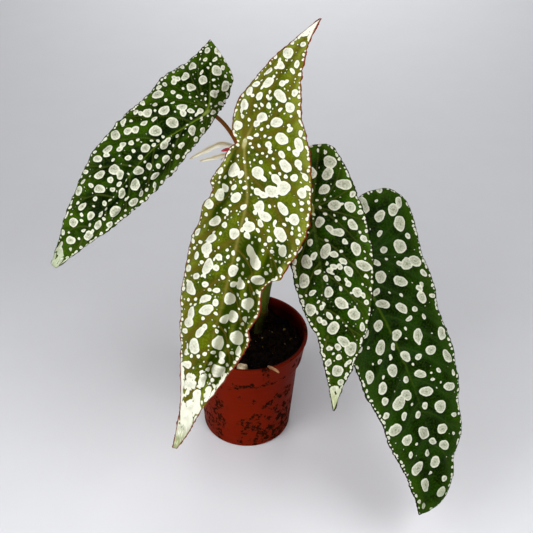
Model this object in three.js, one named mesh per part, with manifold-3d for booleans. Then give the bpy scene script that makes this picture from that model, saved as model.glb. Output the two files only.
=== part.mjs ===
// A young polka dot begonia in a small plastic nursery pot.
// Millimetres, +Z up. The origin is the centre of the pot's underside, and the plant faces -Y.

import * as THREE from 'three';
import Module from 'manifold-3d';
import { mergeVertices } from 'three/addons/utils/BufferGeometryUtils.js';

const wasm = await Module();
wasm.setup();

// Air left between neighbouring pieces, and how far a drill runs past a face
const GAP = 0.3;
const RUN_OUT = 1;

// Pot: a tapered cup with a wider collar and a thin lip. EDGE rounds the lip's top, and the
// underside's round edge is drawn as two chamfers that meet ROUND_MIDDLE of its radius in.
const POT_HEIGHT = 60;
const RIM_RADIUS = 30;
const LIP = 0.6;
const LIP_HEIGHT = 1.4;
const LIP_STEP = 0.4;
const EDGE = 0.25;
const COLLAR_HEIGHT = 13.4;
const COLLAR_FOOT_RADIUS = 27.7;
const NECK_RADIUS = 25.8;
const BASE_RADIUS = 22.4;
const BASE_ROUND = 1.2;
const ROUND_MIDDLE = 0.3;
const WALL = 1.1;
const INSIDE_STEP = 0.2;
const FLOOR = 1.4;
const POT_SIDES = 48;
const DRAIN_HOLES = 6;
const DRAIN_RADIUS = 2.6;
const DRAIN_RING = 14;
const DRILL_SIDES = 16;

// Soil: filled to below the rim, its top uneven with crossing waves. Each wave is given as its
// turn in radians for a unit of length along X, Y and Z, its start and its height.
const SOIL_TOP = 52.6;
const SOIL_WAVES = [
  [0.62, 0.35, 0, 0, 0.45],
  [-0.28, 0.71, 0, 1.3, 0.45],
  [0.4, 0.4, 0, 2.1, 0.45],
];
const SOIL_RINGS = 9;
const SOIL_SIDES = 40;

// Cane: the path of its centre line, the heights of its swollen joints, and where its rings lie:
// at a few heights about each joint and at the heights between them
const CANE_FOOT = 27;
const CANE_PLACE = [5, 8];
const CANE_RADIUS_LOW = 2.4;
const CANE_RADIUS_HIGH = 1.5;
const CANE_SWELLING = 0.7;
const SWELLING_REACH = 1.8;
const CANE_SIDES = 12;
const CANE_PATH = [
  [5, 8, CANE_FOOT],
  [5, 8, 40],
  [5, 8, SOIL_TOP],
  [7, 6, 68],
  [8.7, 4, 83],
  [10, 2, 100],
  [6, -3, 125],
  [2.5, -5, 140],
  [0.5, -9.5, 160],
  [-2.5, -12.3, 169],
  [-6.3, -13.8, 175.3],
];
const JOINTS = { low: 68, farRight: 100, right: 125, left: 140, centre: 164 };
const JOINT_RINGS = [-3.2, -1.5, 0, 1.5, 3.2];
const PLAIN_RINGS = [CANE_FOOT, 40, 52, 60, 76, 84, 92, 106, 112, 118, 132, 148, 154, 171.9];
const LEAST_RING_STEP = 0.003;
const HALVINGS = 24;

// Petioles: tapered, arched stalks from a joint of the cane to the sinus of a blade
const PETIOLE_RADIUS = 1.25;
const PETIOLE_TIP_RADIUS = 0.95;
const PETIOLE_STEPS = 12;
const PETIOLE_SIDES = 8;

// Blades: thickness, soft fold at the midrib, arch of each half and ripple of its edge, which are
// full on a half of the width that follows them, and the grid that a blade is drawn on
const BLADE = 0.76;
const CREASE = 1.5;
const BLADE_ARCH = 1.5;
const ARCH_WIDTH = 20;
const RIPPLE = 1;
const RIPPLE_WIDTH = 12;
const RIPPLE_LENGTH = 23;
const RIPPLE_SHIFT = 2.1;
const LOBE_LENGTH = 20;
const ROW_STEP = 5.6;
const HALF_COLUMNS = 4;

// The four leaves. root is where the petiole meets the blade. heading is the compass turn of the
// blade's length from -Y towards -X, pitch its slope below level there, bend the radius of its
// droop and roll its tilt about its own length. drop is how far each half hangs from the midrib,
// lobeDrop its share at the end of the basal lobe, and curl a further fall in mm for each square
// mm from the midrib. Angles are in degrees. pleats are folds along one half. rise, arrive and
// reach steer the petiole. Each outline row is [distance along from the root, one edge, midrib,
// other edge], in mm over the blade, from the end of the basal lobe to the tip.
const LEAVES = {
  left: {
    root: [-17.9, -5, 187.5],
    heading: 60,
    pitch: 25,
    bend: 250,
    roll: -20,
    rise: [0.05, 0.3, 1],
    arrive: [-0.46, -0.6, 0.65],
    reach: [22, 20],
    drop: [0, 60],
    lobeDrop: 0.5,
    curl: [0, 0],
    outline: [
      [-20.4, -30.4, -26.5, -14.5],
      [-19.4, -30, -25.5, -10],
      [-18, -29.6, -24, -8],
      [-16, -29, -21.5, -5.6],
      [-12, -28, -16.5, -1.8],
      [-7, -27.8, -9.5, 1.5],
      [-2, -27.9, -2.7, 4],
      [3, -27.8, 0, 6.6],
      [7, -27.5, -0.3, 8.4],
      [13, -26.1, -0.9, 10],
      [20, -25.4, -2, 11.2],
      [28, -24.6, -2.4, 13.8],
      [38, -24.1, -1.5, 14.3],
      [48, -22.1, 0.5, 14.4],
      [54, -19.3, 1.4, 14],
      [60, -17.7, 2.1, 13],
      [70, -12.8, 3.1, 10.9],
      [80, -7.8, 3.5, 8.3],
      [90, -2.8, 2.8, 5.2],
      [95, -0.4, 2, 3.4],
    ],
  },
  centre: {
    root: [-1.5, -34, 190.8],
    heading: 21,
    pitch: 50,
    bend: 380,
    roll: -10,
    rise: [0, -0.6, 1],
    arrive: [-0.1, -0.75, 0.65],
    reach: [12, 12],
    drop: [10, 0],
    lobeDrop: 0.3,
    curl: [0.012, 0],
    pleats: { side: 1, start: 36, end: 104, fade: 20, depth: 2.3 },
    outline: [
      [-57, 15.4, 15.8, 16.2],
      [-50, 10.4, 13, 14.9],
      [-43, 6.1, 10.5, 14.3],
      [-37, 1.9, 8.5, 14.7],
      [-30, -1.7, 6, 15.6],
      [-23, -4.7, 4.5, 17.6],
      [-15, -7.8, 3, 19.8],
      [-8, -8, 1.5, 23.7],
      [-2, -6.6, 0.4, 26.6],
      [1.5, -3.6, 0.2, 28],
      [4.5, -6, 0.8, 28.9],
      [10, -7.5, 2.5, 30.5],
      [19, -11.5, 5.6, 32.8],
      [23, -9.3, 6.7, 33.5],
      [29, -12, 6.9, 33.8],
      [36, -12.2, 6.7, 32.9],
      [42, -14, 6.7, 31.1],
      [48, -14.1, 6.6, 28.6],
      [52, -13.8, 6.5, 27.6],
      [53.5, -13.7, 6.5, 24.2],
      [58.5, -13.9, 6.4, 21.2],
      [67, -13.8, 6, 22.3],
      [76, -11.3, 5.3, 19.3],
      [81, -11, 4.9, 20.4],
      [97, -6.9, 2.9, 14.2],
      [107, -5.2, 1.6, 9.4],
      [116, -3.9, 0.2, 5.2],
      [126, -4.1, -1.7, 1.6],
      [134, -4.5, -3.3, -2.1],
    ],
  },
  right: {
    root: [26.8, -36, 160.5],
    heading: -8,
    pitch: 54,
    bend: 300,
    roll: 3,
    rise: [0.5, -0.4, 0.9],
    arrive: [0.35, -0.75, 0.55],
    reach: [16, 14],
    drop: [20, 0],
    lobeDrop: 0.5,
    curl: [0, 0],
    outline: [
      [-26.3, 2.5, 4.5, 7.5],
      [-25, -1.5, 4.6, 10.3],
      [-23, -3.4, 4.4, 12],
      [-18, -6, 3.4, 14.6],
      [-12, -6.6, 2.3, 17.2],
      [-6, -4.6, 1.1, 19],
      [-1, -2.6, 0, 20.7],
      [2, -7.2, 0.2, 21.7],
      [6, -10, 0.5, 22.9],
      [12, -11.8, 1, 23.8],
      [19, -11.7, 1.8, 24.8],
      [26, -10.2, 2.5, 25.2],
      [34, -9, 3.1, 24.9],
      [42, -6.8, 3.6, 23.8],
      [50, -3.4, 4.2, 22.6],
      [56, 0, 4.7, 21.2],
      [64, 1.2, 5.5, 17.6],
      [72, 3.2, 6, 14.6],
      [80, 4.6, 6.4, 10.6],
      [90, 6.3, 6.7, 7.1],
    ],
  },
  farRight: {
    root: [49.9, -30, 131],
    heading: -25,
    pitch: 50,
    bend: 400,
    roll: -4,
    rise: [0.8, -0.25, 0.7],
    arrive: [0.55, -0.6, 0.55],
    reach: [20, 16],
    drop: [0, 0],
    lobeDrop: 1,
    curl: [0, 0],
    outline: [
      [-27.2, 12, 15.5, 19.5],
      [-26, 7.5, 14, 22.9],
      [-22, 1, 11, 27.7],
      [-16, -4, 7, 30.9],
      [-10, -5.2, 3.7, 31.3],
      [-3, -2.6, 0.6, 30.4],
      [0, -5, 0, 30.4],
      [3, -9.4, 0, 30.7],
      [8, -12, 0.2, 31.4],
      [15, -14.4, 0.8, 32.4],
      [24, -16.2, 2.4, 33],
      [33, -16.9, 5, 33.1],
      [43, -16.2, 7.6, 34.5],
      [54, -14.4, 10, 36.8],
      [60, -12.9, 11.3, 36.4],
      [65, -11.2, 12.3, 36.2],
      [76, -7.5, 14.2, 34.8],
      [88, -4.9, 15.3, 33.8],
      [98, -1.2, 14.8, 30.6],
      [103, 0.6, 14, 27.8],
      [108, 2, 12.8, 26.4],
      [116, 4.1, 10.5, 23],
      [122, 4.4, 8.3, 18.6],
      [124.3, 5, 7.2, 11],
    ],
  },
};

// Growing tip: pointed shoots beside the top of the cane, each with its path and half width
const TIP_SHOOTS = {
  stipule_upper: {
    path: [
      [-7.1, -13.6, 176.1],
      [-12.4, -14.5, 177],
      [-17.1, -15, 175],
      [-21.4, -15, 172.4],
      [-26, -14.5, 169.2],
    ],
    width: 2,
    flatness: 0.36,
  },
  stipule_lower: {
    path: [
      [-7.3, -15.3, 172.6],
      [-11.6, -17, 172.9],
      [-15.9, -17.8, 172],
      [-21.5, -17, 169.8],
    ],
    width: 1.6,
    flatness: 0.36,
  },
  stipule_drooping: {
    path: [
      [-6.4, -12.4, 171.9],
      [-9.8, -12.8, 171.5],
      [-11.6, -13.4, 170],
      [-12.5, -13.5, 168.2],
    ],
    width: 1,
    flatness: 0.5,
  },
  leaf_bud: {
    path: [
      [-7.9, -14.4, 174.6],
      [-9.6, -15.2, 174.9],
      [-11, -15.5, 174.7],
      [-12.3, -15.7, 174.3],
    ],
    width: 0.9,
    flatness: 0.7,
  },
};
const SHOOT_STEPS = 8;
const SHOOT_SIDES = 8;

// A tip shoot's foot as a share of its width, how far its widest place leans to the foot, and
// how full its sides are
const SHOOT_FOOT = 0.3;
const SHOOT_LEAN = 0.75;
const SHOOT_FULLNESS = 0.8;

// Loose bits: a perlite grain by the front of the rim, and a curled chip of bark over the rim
const PERLITE_PLACE = [-2, -25.1, 56.9];
const PERLITE_SIZE = [2.8, 2.3, 3.9];
const PERLITE_WAVES = [
  [4, 0, 3.5, 1, 0.045],
  [4, 0, -3.5, 1, 0.045],
  [0, 5, 3, 0, 0.06],
];
const CHIP_PATH = [
  [10.2, -26.2, 60.75],
  [11.9, -27.6, 60.75],
  [13.7, -28.9, 60.8],
  [15.9, -30.6, 60.2],
];
const CHIP_WIDTH = 1.2;
const CHIP_END = 0.55;
const CHIP_FLATNESS = 0.3;
const CHIP_BROAD = [1, 0.7, 0];

const material = (color, roughness, metalness = 0) =>
  new THREE.MeshStandardMaterial({ color, roughness, metalness });

const plastic = material('#a8402c', 0.45);
const peat = material('#1d1714', 0.95);
const caneSkin = material('#5d7a33', 0.45);
const petioleSkin = material('#80563a', 0.45);
const darkBlade = material('#2e5425', 0.42);
const paleBlade = material('#7d9044', 0.42);
const sheath = material('#e4dcc4', 0.6);
const budSkin = material('#b4453c', 0.5);
const perliteStone = material('#cfc8bc', 0.85);
const bark = material('#6b4430', 0.9);

const plant = new THREE.Group();

function piece(name, geometry, look) {
  const mesh = new THREE.Mesh(geometry, look);
  mesh.name = name;
  plant.add(mesh);
  return mesh;
}

const vector = (list) => new THREE.Vector3(...list);
const { degToRad: radians, smoothstep, clamp } = THREE.MathUtils;
const TURN = 2 * Math.PI;

// A closed geometry as a solid that can be cut, and the way back
function solid(geometry) {
  const bare = geometry.clone();
  bare.deleteAttribute('normal');
  bare.deleteAttribute('uv');
  const merged = mergeVertices(bare, 1e-4);
  return new wasm.Manifold(new wasm.Mesh({
    numProp: 3,
    vertProperties: merged.attributes.position.array,
    triVerts: new Uint32Array(merged.index.array),
  }));
}

function surface(cutSolid) {
  const cut = cutSolid.getMesh();
  const geometry = new THREE.BufferGeometry();
  geometry.setAttribute('position', new THREE.BufferAttribute(cut.vertProperties, 3));
  geometry.setIndex(new THREE.BufferAttribute(cut.triVerts, 1));
  geometry.computeVertexNormals();
  return geometry;
}

// A lathe profile is drawn as [radius, height] and turned about +Z
function turned(profile, sides) {
  const points = profile.map(([radius, height]) => new THREE.Vector2(radius, height));
  return new THREE.LatheGeometry(points, sides).rotateX(Math.PI / 2);
}

// The height of crossing waves at a place
function waves(list, x, y, z) {
  const heights = list.map(([a, b, c, start, height]) => height * Math.sin(a * x + b * y + c * z + start));
  return heights.reduce((sum, height) => sum + height, 0);
}

function drill(radius, low, high, x, y) {
  const bit = new THREE.CylinderGeometry(radius, radius, high - low, DRILL_SIDES);
  bit.rotateX(Math.PI / 2).translate(x, y, (low + high) / 2);
  return solid(bit);
}

// The pot's wall, from the foot of the inside to the lip, drawn one wall thickness in
const COLLAR_FOOT = POT_HEIGHT - COLLAR_HEIGHT;
const INSIDE = [
  [BASE_RADIUS - WALL, FLOOR],
  [NECK_RADIUS - WALL, COLLAR_FOOT - INSIDE_STEP],
  [COLLAR_FOOT_RADIUS - WALL, COLLAR_FOOT + WALL],
  [RIM_RADIUS - LIP - WALL, POT_HEIGHT],
];

function makePot() {
  const profile = [
    [0, 0],
    [BASE_RADIUS - BASE_ROUND, 0],
    [BASE_RADIUS - BASE_ROUND * ROUND_MIDDLE, BASE_ROUND * ROUND_MIDDLE],
    [BASE_RADIUS, BASE_ROUND],
    [NECK_RADIUS, COLLAR_FOOT],
    [COLLAR_FOOT_RADIUS, COLLAR_FOOT],
    [RIM_RADIUS - LIP, POT_HEIGHT - LIP_HEIGHT],
    [RIM_RADIUS, POT_HEIGHT - LIP_HEIGHT + LIP_STEP],
    [RIM_RADIUS, POT_HEIGHT - EDGE],
    [RIM_RADIUS - EDGE, POT_HEIGHT],
    ...INSIDE.toReversed(),
    [0, FLOOR],
  ];
  let pot = solid(turned(profile, POT_SIDES));
  for (let i = 0; i < DRAIN_HOLES; i += 1) {
    const turn = (i + 0.5) * TURN / DRAIN_HOLES;
    const [x, y] = [DRAIN_RING * Math.cos(turn), DRAIN_RING * Math.sin(turn)];
    pot = pot.subtract(drill(DRAIN_RADIUS, -RUN_OUT, FLOOR + RUN_OUT, x, y));
  }
  piece('pot', surface(pot), plastic);
}

function makeSoil() {
  const side = INSIDE.slice(0, 3).map(([radius, height]) => [radius - GAP, height + GAP]);
  const low = side[2];
  const high = INSIDE[3];
  const share = (SOIL_TOP - low[1]) / (high[1] - low[1]);
  const topRadius = low[0] + (high[0] - GAP - low[0]) * share;
  const profile = [[0, FLOOR + GAP], ...side];
  for (let ring = SOIL_RINGS; ring >= 0; ring -= 1) {
    profile.push([topRadius * ring / SOIL_RINGS, SOIL_TOP]);
  }
  const geometry = turned(profile, SOIL_SIDES);
  const place = geometry.attributes.position;
  for (let i = 0; i < place.count; i += 1) {
    if (place.getZ(i) > SOIL_TOP - GAP) {
      place.setZ(i, SOIL_TOP + waves(SOIL_WAVES, place.getX(i), place.getY(i), 0));
    }
  }
  const hole = drill(CANE_RADIUS_LOW + GAP, CANE_FOOT - GAP, POT_HEIGHT, ...CANE_PLACE);
  piece('soil', surface(solid(geometry).subtract(hole)), peat);
}

// A round or flattened shoot along a path: a lathe turned on a straight axis, then bent.
// radiusAt gives the radius at a share of the length, stops are the shares where rings lie,
// and flatness squeezes the section across the direction named by broad.
function shoot(path, radiusAt, stops, sides, flatness = 1, broad = new THREE.Vector3(1, 0, 0)) {
  const profile = [new THREE.Vector2(0, 0)];
  stops.forEach((stop) => profile.push(new THREE.Vector2(radiusAt(stop), stop)));
  profile.push(new THREE.Vector2(0, 1));
  const geometry = new THREE.LatheGeometry(profile, sides);
  const place = geometry.attributes.position;
  const point = new THREE.Vector3();
  for (let i = 0; i < place.count; i += 1) {
    point.fromBufferAttribute(place, i);
    const share = clamp(point.y, 0, 1);
    const along = path.getTangentAt(share);
    const thin = broad.clone().cross(along).normalize();
    const wide = along.clone().cross(thin);
    const bent = path.getPointAt(share)
      .addScaledVector(wide, point.x)
      .addScaledVector(thin, point.z * flatness);
    place.setXYZ(i, bent.x, bent.y, bent.z);
  }
  geometry.computeVertexNormals();
  return geometry;
}

const evenly = (count) => Array.from({ length: count + 1 }, (_, i) => i / count);

// The cane
const canePath = new THREE.CatmullRomCurve3(CANE_PATH.map(vector), false, 'centripetal');

function shareAtHeight(height) {
  let low = 0;
  let high = 1;
  for (let i = 0; i < HALVINGS; i += 1) {
    const middle = (low + high) / 2;
    if (canePath.getPointAt(middle).z < height) low = middle;
    else high = middle;
  }
  return low;
}

function caneRadius(share) {
  const height = canePath.getPointAt(share).z;
  const plain = CANE_RADIUS_LOW + (CANE_RADIUS_HIGH - CANE_RADIUS_LOW) * Math.max(0, share);
  const steps = Object.values(JOINTS).map((joint) => (height - joint) / SWELLING_REACH);
  return plain + CANE_SWELLING * Math.max(...steps.map((step) => Math.exp(-(step ** 2))));
}

function makeCane() {
  const rings = Object.values(JOINTS).flatMap((joint) => JOINT_RINGS.map((step) => joint + step));
  const stops = [...rings, ...PLAIN_RINGS].sort((a, b) => a - b).map(shareAtHeight);
  stops[0] = 0;
  stops.push(1);
  const apart = stops.filter((stop, i) => i === 0 || stop - stops[i - 1] > LEAST_RING_STEP);
  piece('cane', shoot(canePath, caneRadius, apart, CANE_SIDES), caneSkin);
}

// A smooth curve through the rows of an outline, read at a distance along the blade
function outlineAt(rows, along, column) {
  const last = rows.length - 1;
  const i = Math.min(last - 1, Math.max(0, rows.findIndex((row) => row[0] > along) - 1));
  const k = along >= rows[last][0] ? last - 1 : i;
  const slope = (j) => {
    const before = rows[Math.max(0, j - 1)];
    const after = rows[Math.min(last, j + 1)];
    return (after[column] - before[column]) / (after[0] - before[0]);
  };
  const span = rows[k + 1][0] - rows[k][0];
  const t = (along - rows[k][0]) / span;
  const start = rows[k][column];
  const end = rows[k + 1][column];
  return start * (1 + 2 * t) * (1 - t) ** 2 + end * t * t * (3 - 2 * t)
    + span * t * (1 - t) * (slope(k) * (1 - t) - slope(k + 1) * t);
}

// The line that a blade follows: an arc that droops, with the directions across and off the blade
function spine(leaf, along) {
  const heading = radians(leaf.heading);
  const start = radians(leaf.pitch);
  const pitch = start + along / leaf.bend;
  const roll = radians(leaf.roll);
  const forward = new THREE.Vector3(-Math.sin(heading), -Math.cos(heading), 0);
  const level = new THREE.Vector3(Math.cos(heading), -Math.sin(heading), 0);
  const up = forward.clone().multiplyScalar(Math.sin(pitch)).setZ(Math.cos(pitch));
  return {
    centre: vector(leaf.root)
      .addScaledVector(forward, leaf.bend * (Math.sin(pitch) - Math.sin(start)))
      .add(new THREE.Vector3(0, 0, leaf.bend * (Math.cos(pitch) - Math.cos(start)))),
    across: level.clone().multiplyScalar(Math.cos(roll)).addScaledVector(up, Math.sin(roll)),
    off: up.clone().multiplyScalar(Math.cos(roll)).addScaledVector(level, -Math.sin(roll)),
  };
}

// How far a blade stands off its folded halves: its arch, rippled edges and pleats
function relief(leaf, along, share, half) {
  const out = Math.abs(share);
  const turn = TURN * along / RIPPLE_LENGTH + (share < 0 ? 0 : RIPPLE_SHIFT);
  const arch = BLADE_ARCH * Math.min(1, half / ARCH_WIDTH) * Math.sin(Math.PI * out);
  const ripple = RIPPLE * Math.min(1, half / RIPPLE_WIDTH) * out * out * Math.sin(turn);
  if (!leaf.pleats || Math.sign(share) !== leaf.pleats.side) return arch + ripple;
  const { start, end, fade, depth } = leaf.pleats;
  const reach = smoothstep(along, start, start + fade) * (1 - smoothstep(along, end - fade, end));
  return arch + ripple - depth * reach * Math.sin(TURN * out) ** 2;
}

// A point in the middle of a blade. share runs from -1 at one edge through 0 on the midrib to 1.
function bladePoint(leaf, along, share) {
  const side = share < 0 ? 0 : 1;
  const rib = outlineAt(leaf.outline, along, 2);
  const half = Math.abs(outlineAt(leaf.outline, along, side ? 3 : 1) - rib);
  const width = half * Math.abs(share);
  const lobe = clamp(-along / LOBE_LENGTH, 0, 1);
  const drop = radians(leaf.drop[side]) * (1 - (1 - leaf.lobeDrop) * lobe);
  const fall = Math.sin(drop) * (Math.hypot(width, CREASE) - CREASE) + leaf.curl[side] * width * width;
  const stand = relief(leaf, along, share, half);
  const level = width * Math.cos(drop) + stand * Math.sin(drop);
  const { centre, across, off } = spine(leaf, along);
  return centre
    .addScaledVector(across, rib + (side ? level : -level))
    .addScaledVector(off, stand * Math.cos(drop) - fall);
}

// Where the rows of a blade's grid lie: at the rows of its outline, and between those far apart
function rowPlaces(outline) {
  return outline.flatMap(([start], i) => {
    const span = i + 1 < outline.length ? outline[i + 1][0] - start : 0;
    const steps = Math.max(1, Math.ceil(span / ROW_STEP));
    return evenly(steps).slice(0, -1).map((share) => start + span * share);
  });
}

// A blade: one grid of points for each face, split into triangles alike, and a wall round them.
// The two faces stand half the thickness off the middle, square to it.
function bladeGeometry(leaf) {
  const columns = 2 * HALF_COLUMNS;
  const middle = rowPlaces(leaf.outline).map((along) => (
    evenly(columns).map((share) => bladePoint(leaf, along, 2 * share - 1))
  ));
  const rows = middle.length - 1;
  const across = new THREE.Vector3();
  const square = middle.map((row, i) => row.map((_, j) => {
    across.subVectors(row[Math.min(columns, j + 1)], row[Math.max(0, j - 1)]);
    const along = middle[Math.min(rows, i + 1)][j].clone().sub(middle[Math.max(0, i - 1)][j]);
    return along.cross(across).normalize();
  }));
  const points = [BLADE / 2, -BLADE / 2].flatMap((lift) => (
    middle.flatMap((row, i) => row.map((point, j) => point.clone().addScaledVector(square[i][j], lift)))
  ));
  const under = points.length / 2;
  const at = (i, j) => i * (columns + 1) + j;
  const faces = [];
  for (let i = 0; i < rows; i += 1) {
    for (let j = 0; j < columns; j += 1) {
      const [a, b, c, d] = [at(i, j), at(i + 1, j), at(i + 1, j + 1), at(i, j + 1)];
      faces.push(a, b, c, a, c, d);
      faces.push(under + a, under + c, under + b, under + a, under + d, under + c);
    }
  }
  const down = middle.map((_, i) => i);
  const over = middle[0].map((_, j) => j);
  const rim = [
    ...down.map((i) => at(i, 0)),
    ...over.slice(1).map((j) => at(rows, j)),
    ...down.slice(1).map((i) => at(rows - i, columns)),
    ...over.slice(1, -1).map((j) => at(0, columns - j)),
  ];
  rim.forEach((a, i) => {
    const b = rim[(i + 1) % rim.length];
    faces.push(a, under + a, under + b, a, under + b, b);
  });
  const geometry = new THREE.BufferGeometry().setFromPoints(points);
  geometry.setIndex(faces);
  geometry.computeVertexNormals();
  return geometry;
}

// Where a petiole ends: under the blade's root, clear of both halves
function petioleEnd(leaf, arrive) {
  const { across, off } = spine(leaf, 0);
  const [low, high] = leaf.drop.map(radians);
  const halves = [[low, -1], [high, 1]].map(([drop, side]) => (
    off.clone().multiplyScalar(Math.cos(drop)).addScaledVector(across, side * Math.sin(drop))
  ));
  const out = halves[0].clone().add(halves[1]).normalize();
  const slant = Math.max(...halves.map((normal) => Math.sqrt(1 - arrive.dot(normal) ** 2)));
  return bladePoint(leaf, 0, 0).addScaledVector(out, -(BLADE / 2 + GAP + PETIOLE_TIP_RADIUS * slant));
}

function makeLeaf(name, leaf, joint) {
  piece(`leaf_${name}`, bladeGeometry(leaf), name === 'centre' ? paleBlade : darkBlade);
  const share = shareAtHeight(joint);
  const rise = vector(leaf.rise).normalize();
  const arrive = vector(leaf.arrive).normalize();
  const node = canePath.getPointAt(share);
  const away = vector(leaf.root).sub(node).setZ(0).normalize();
  const start = node.addScaledVector(away, caneRadius(share) + GAP + PETIOLE_RADIUS * rise.z);
  const end = petioleEnd(leaf, arrive);
  const path = new THREE.CubicBezierCurve3(
    start,
    start.clone().addScaledVector(rise, leaf.reach[0]),
    end.clone().addScaledVector(arrive, -leaf.reach[1]),
    end,
  );
  const radiusAt = (place) => PETIOLE_RADIUS + (PETIOLE_TIP_RADIUS - PETIOLE_RADIUS) * place;
  const broad = away.cross(new THREE.Vector3(0, 0, 1));
  const stalk = shoot(path, radiusAt, evenly(PETIOLE_STEPS), PETIOLE_SIDES, 1, broad);
  piece(`petiole_${name}`, stalk, petioleSkin);
}

// A pointed sheath or bud: widest a third of the way along
function makeTipShoot(name, { path, width, flatness }) {
  const curve = new THREE.CatmullRomCurve3(path.map(vector), false, 'centripetal');
  const side = (place) => Math.sin(Math.PI * Math.min(1, place ** SHOOT_LEAN)) ** SHOOT_FULLNESS;
  const radiusAt = (place) => width * (SHOOT_FOOT + (1 - SHOOT_FOOT) * side(place));
  const broad = new THREE.Vector3(0, -1, 0);
  const form = shoot(curve, radiusAt, evenly(SHOOT_STEPS), SHOOT_SIDES, flatness, broad);
  piece(name, form, name === 'leaf_bud' ? budSkin : sheath);
}

function makePerlite() {
  const round = new THREE.IcosahedronGeometry(1, 2);
  const grain = mergeVertices(round.deleteAttribute('normal').deleteAttribute('uv'));
  const place = grain.attributes.position;
  for (let i = 0; i < place.count; i += 1) {
    const [x, y, z] = [place.getX(i), place.getY(i), place.getZ(i)];
    const lump = 1 + waves(PERLITE_WAVES, x, y, z);
    place.setXYZ(i, x * lump, y * lump, z * lump);
  }
  grain.scale(...PERLITE_SIZE).translate(...PERLITE_PLACE);
  grain.computeVertexNormals();
  piece('perlite', grain, perliteStone);
}

function makeBarkChip() {
  const curve = new THREE.CatmullRomCurve3(CHIP_PATH.map(vector));
  const radiusAt = (place) => CHIP_WIDTH * (CHIP_END + (1 - CHIP_END) * Math.sin(Math.PI * place));
  const chip = shoot(curve, radiusAt, evenly(SHOOT_STEPS), SHOOT_SIDES, CHIP_FLATNESS, vector(CHIP_BROAD));
  piece('bark_chip', chip, bark);
}

makePot();
makeSoil();
makeCane();
makeLeaf('left', LEAVES.left, JOINTS.left);
makeLeaf('centre', LEAVES.centre, JOINTS.centre);
makeLeaf('right', LEAVES.right, JOINTS.right);
makeLeaf('far_right', LEAVES.farRight, JOINTS.farRight);
Object.entries(TIP_SHOOTS).forEach(([name, sizes]) => makeTipShoot(name, sizes));
makePerlite();
makeBarkChip();

export default plant;
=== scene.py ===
# A young polka dot begonia in a small plastic nursery pot, dressed round its fixed frame.
# Shapes are worked out in millimetres and become metres when a mesh is made.
import math

import bmesh
import bpy
import numpy as np
from mathutils import Matrix, Vector


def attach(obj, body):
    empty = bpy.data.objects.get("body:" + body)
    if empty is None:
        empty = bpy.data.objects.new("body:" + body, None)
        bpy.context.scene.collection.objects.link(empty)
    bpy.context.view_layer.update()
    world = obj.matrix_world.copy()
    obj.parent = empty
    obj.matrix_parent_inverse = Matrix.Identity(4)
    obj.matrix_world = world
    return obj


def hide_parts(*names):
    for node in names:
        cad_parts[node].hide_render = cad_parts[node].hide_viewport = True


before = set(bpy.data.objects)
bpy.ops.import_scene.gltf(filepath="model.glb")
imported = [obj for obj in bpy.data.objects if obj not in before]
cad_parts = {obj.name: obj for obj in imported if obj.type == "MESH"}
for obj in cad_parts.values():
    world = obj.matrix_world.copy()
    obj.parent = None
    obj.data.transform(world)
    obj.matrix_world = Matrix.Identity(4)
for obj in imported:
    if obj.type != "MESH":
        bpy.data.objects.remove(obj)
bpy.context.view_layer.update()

MM = 0.001
TURN = 2 * math.pi

# Pot, soil and cane, as in the frame
POT_HEIGHT = 60
RIM_RADIUS = 30
LIP = 0.6
LIP_HEIGHT = 1.4
COLLAR_HEIGHT = 13.4
COLLAR_FOOT_RADIUS = 27.7
NECK_RADIUS = 25.8
BASE_RADIUS = 22.4
WALL = 1.1
FLOOR = 1.4
DRAIN_HOLES = 6
DRAIN_RADIUS = 2.6
DRAIN_RING = 14
COLLAR_FOOT = POT_HEIGHT - COLLAR_HEIGHT
SOIL_TOP = 52.6
SOIL_RELIEF = 0.9
CANE_RADIUS_LOW = 2.4
CANE_RADIUS_HIGH = 1.5
CANE_SWELLING = 0.7
SWELLING_WIDTH = 1.8
CANE_PATH = [
    [5, 8, 27], [5, 8, 40], [5, 8, SOIL_TOP], [7, 6, 68], [8.7, 4, 83], [10, 2, 100],
    [6, -3, 125], [2.5, -5, 140], [0.5, -9.5, 160], [-2.5, -12.3, 169], [-6.3, -13.8, 175.3],
]
JOINTS = {"low": 68, "far_right": 100, "right": 125, "left": 140, "centre": 164}
JOINT_HEIGHTS = np.array(list(JOINTS.values()))
PETIOLE_RADIUS = 1.25
PETIOLE_TIP_RADIUS = 0.95
SOIL_GAP = 0.25

# How finely each thing is drawn: points or rings along it and sides round it
CURVE_STEPS = 24
CORNER_STEPS = 5
CANE_POINTS = 420
CANE_SIDES = 40
PETIOLE_POINTS = 120
PETIOLE_SIDES = 28
SHOOT_POINTS = 90
SHOOT_SIDES = 48
CHIP_POINTS = 70
CHIP_SIDES = 28
POT_SIDES = 160
HOLE_SIDES = 32
SOIL_SIDES = 150
SOIL_RINGS = 70

# Blades, at their real thickness: the fold at the midrib, the waves of the edges, the puckers and
# furrows of the two faces, and the spots, in mm. PLEAT_WIDTH is a share of a half's width.
BLADE = 0.42
CREASE = 1.5
BLADE_ARCH = 1.5
PLEAT_WIDTH = 0.15
RIPPLE = 0.7
RIPPLE_LENGTH = 23
SCALLOP_LENGTH = 5.6
TEETH = 0.24
TEETH_LENGTH = 4.6
PUCKER = 0.32
FINE_PUCKER = 0.12
FURROW = 0.4
FURROW_WIDTH = 1.4
RIDGE = 0.55
RIDGE_WIDTH = 0.5
RIB_WIDTH = 0.52
EDGE_ROUND = 0.6
EDGE_CALM = 2.5
ROOT_SWELL = 0.3
ROOT_SWELL_WIDTH = 1.8
SPOT_HEIGHT = 0.14
SPOT_MELT = 0.14
ROW_STEP = 0.32
COLUMN_STEP = 0.4

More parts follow.
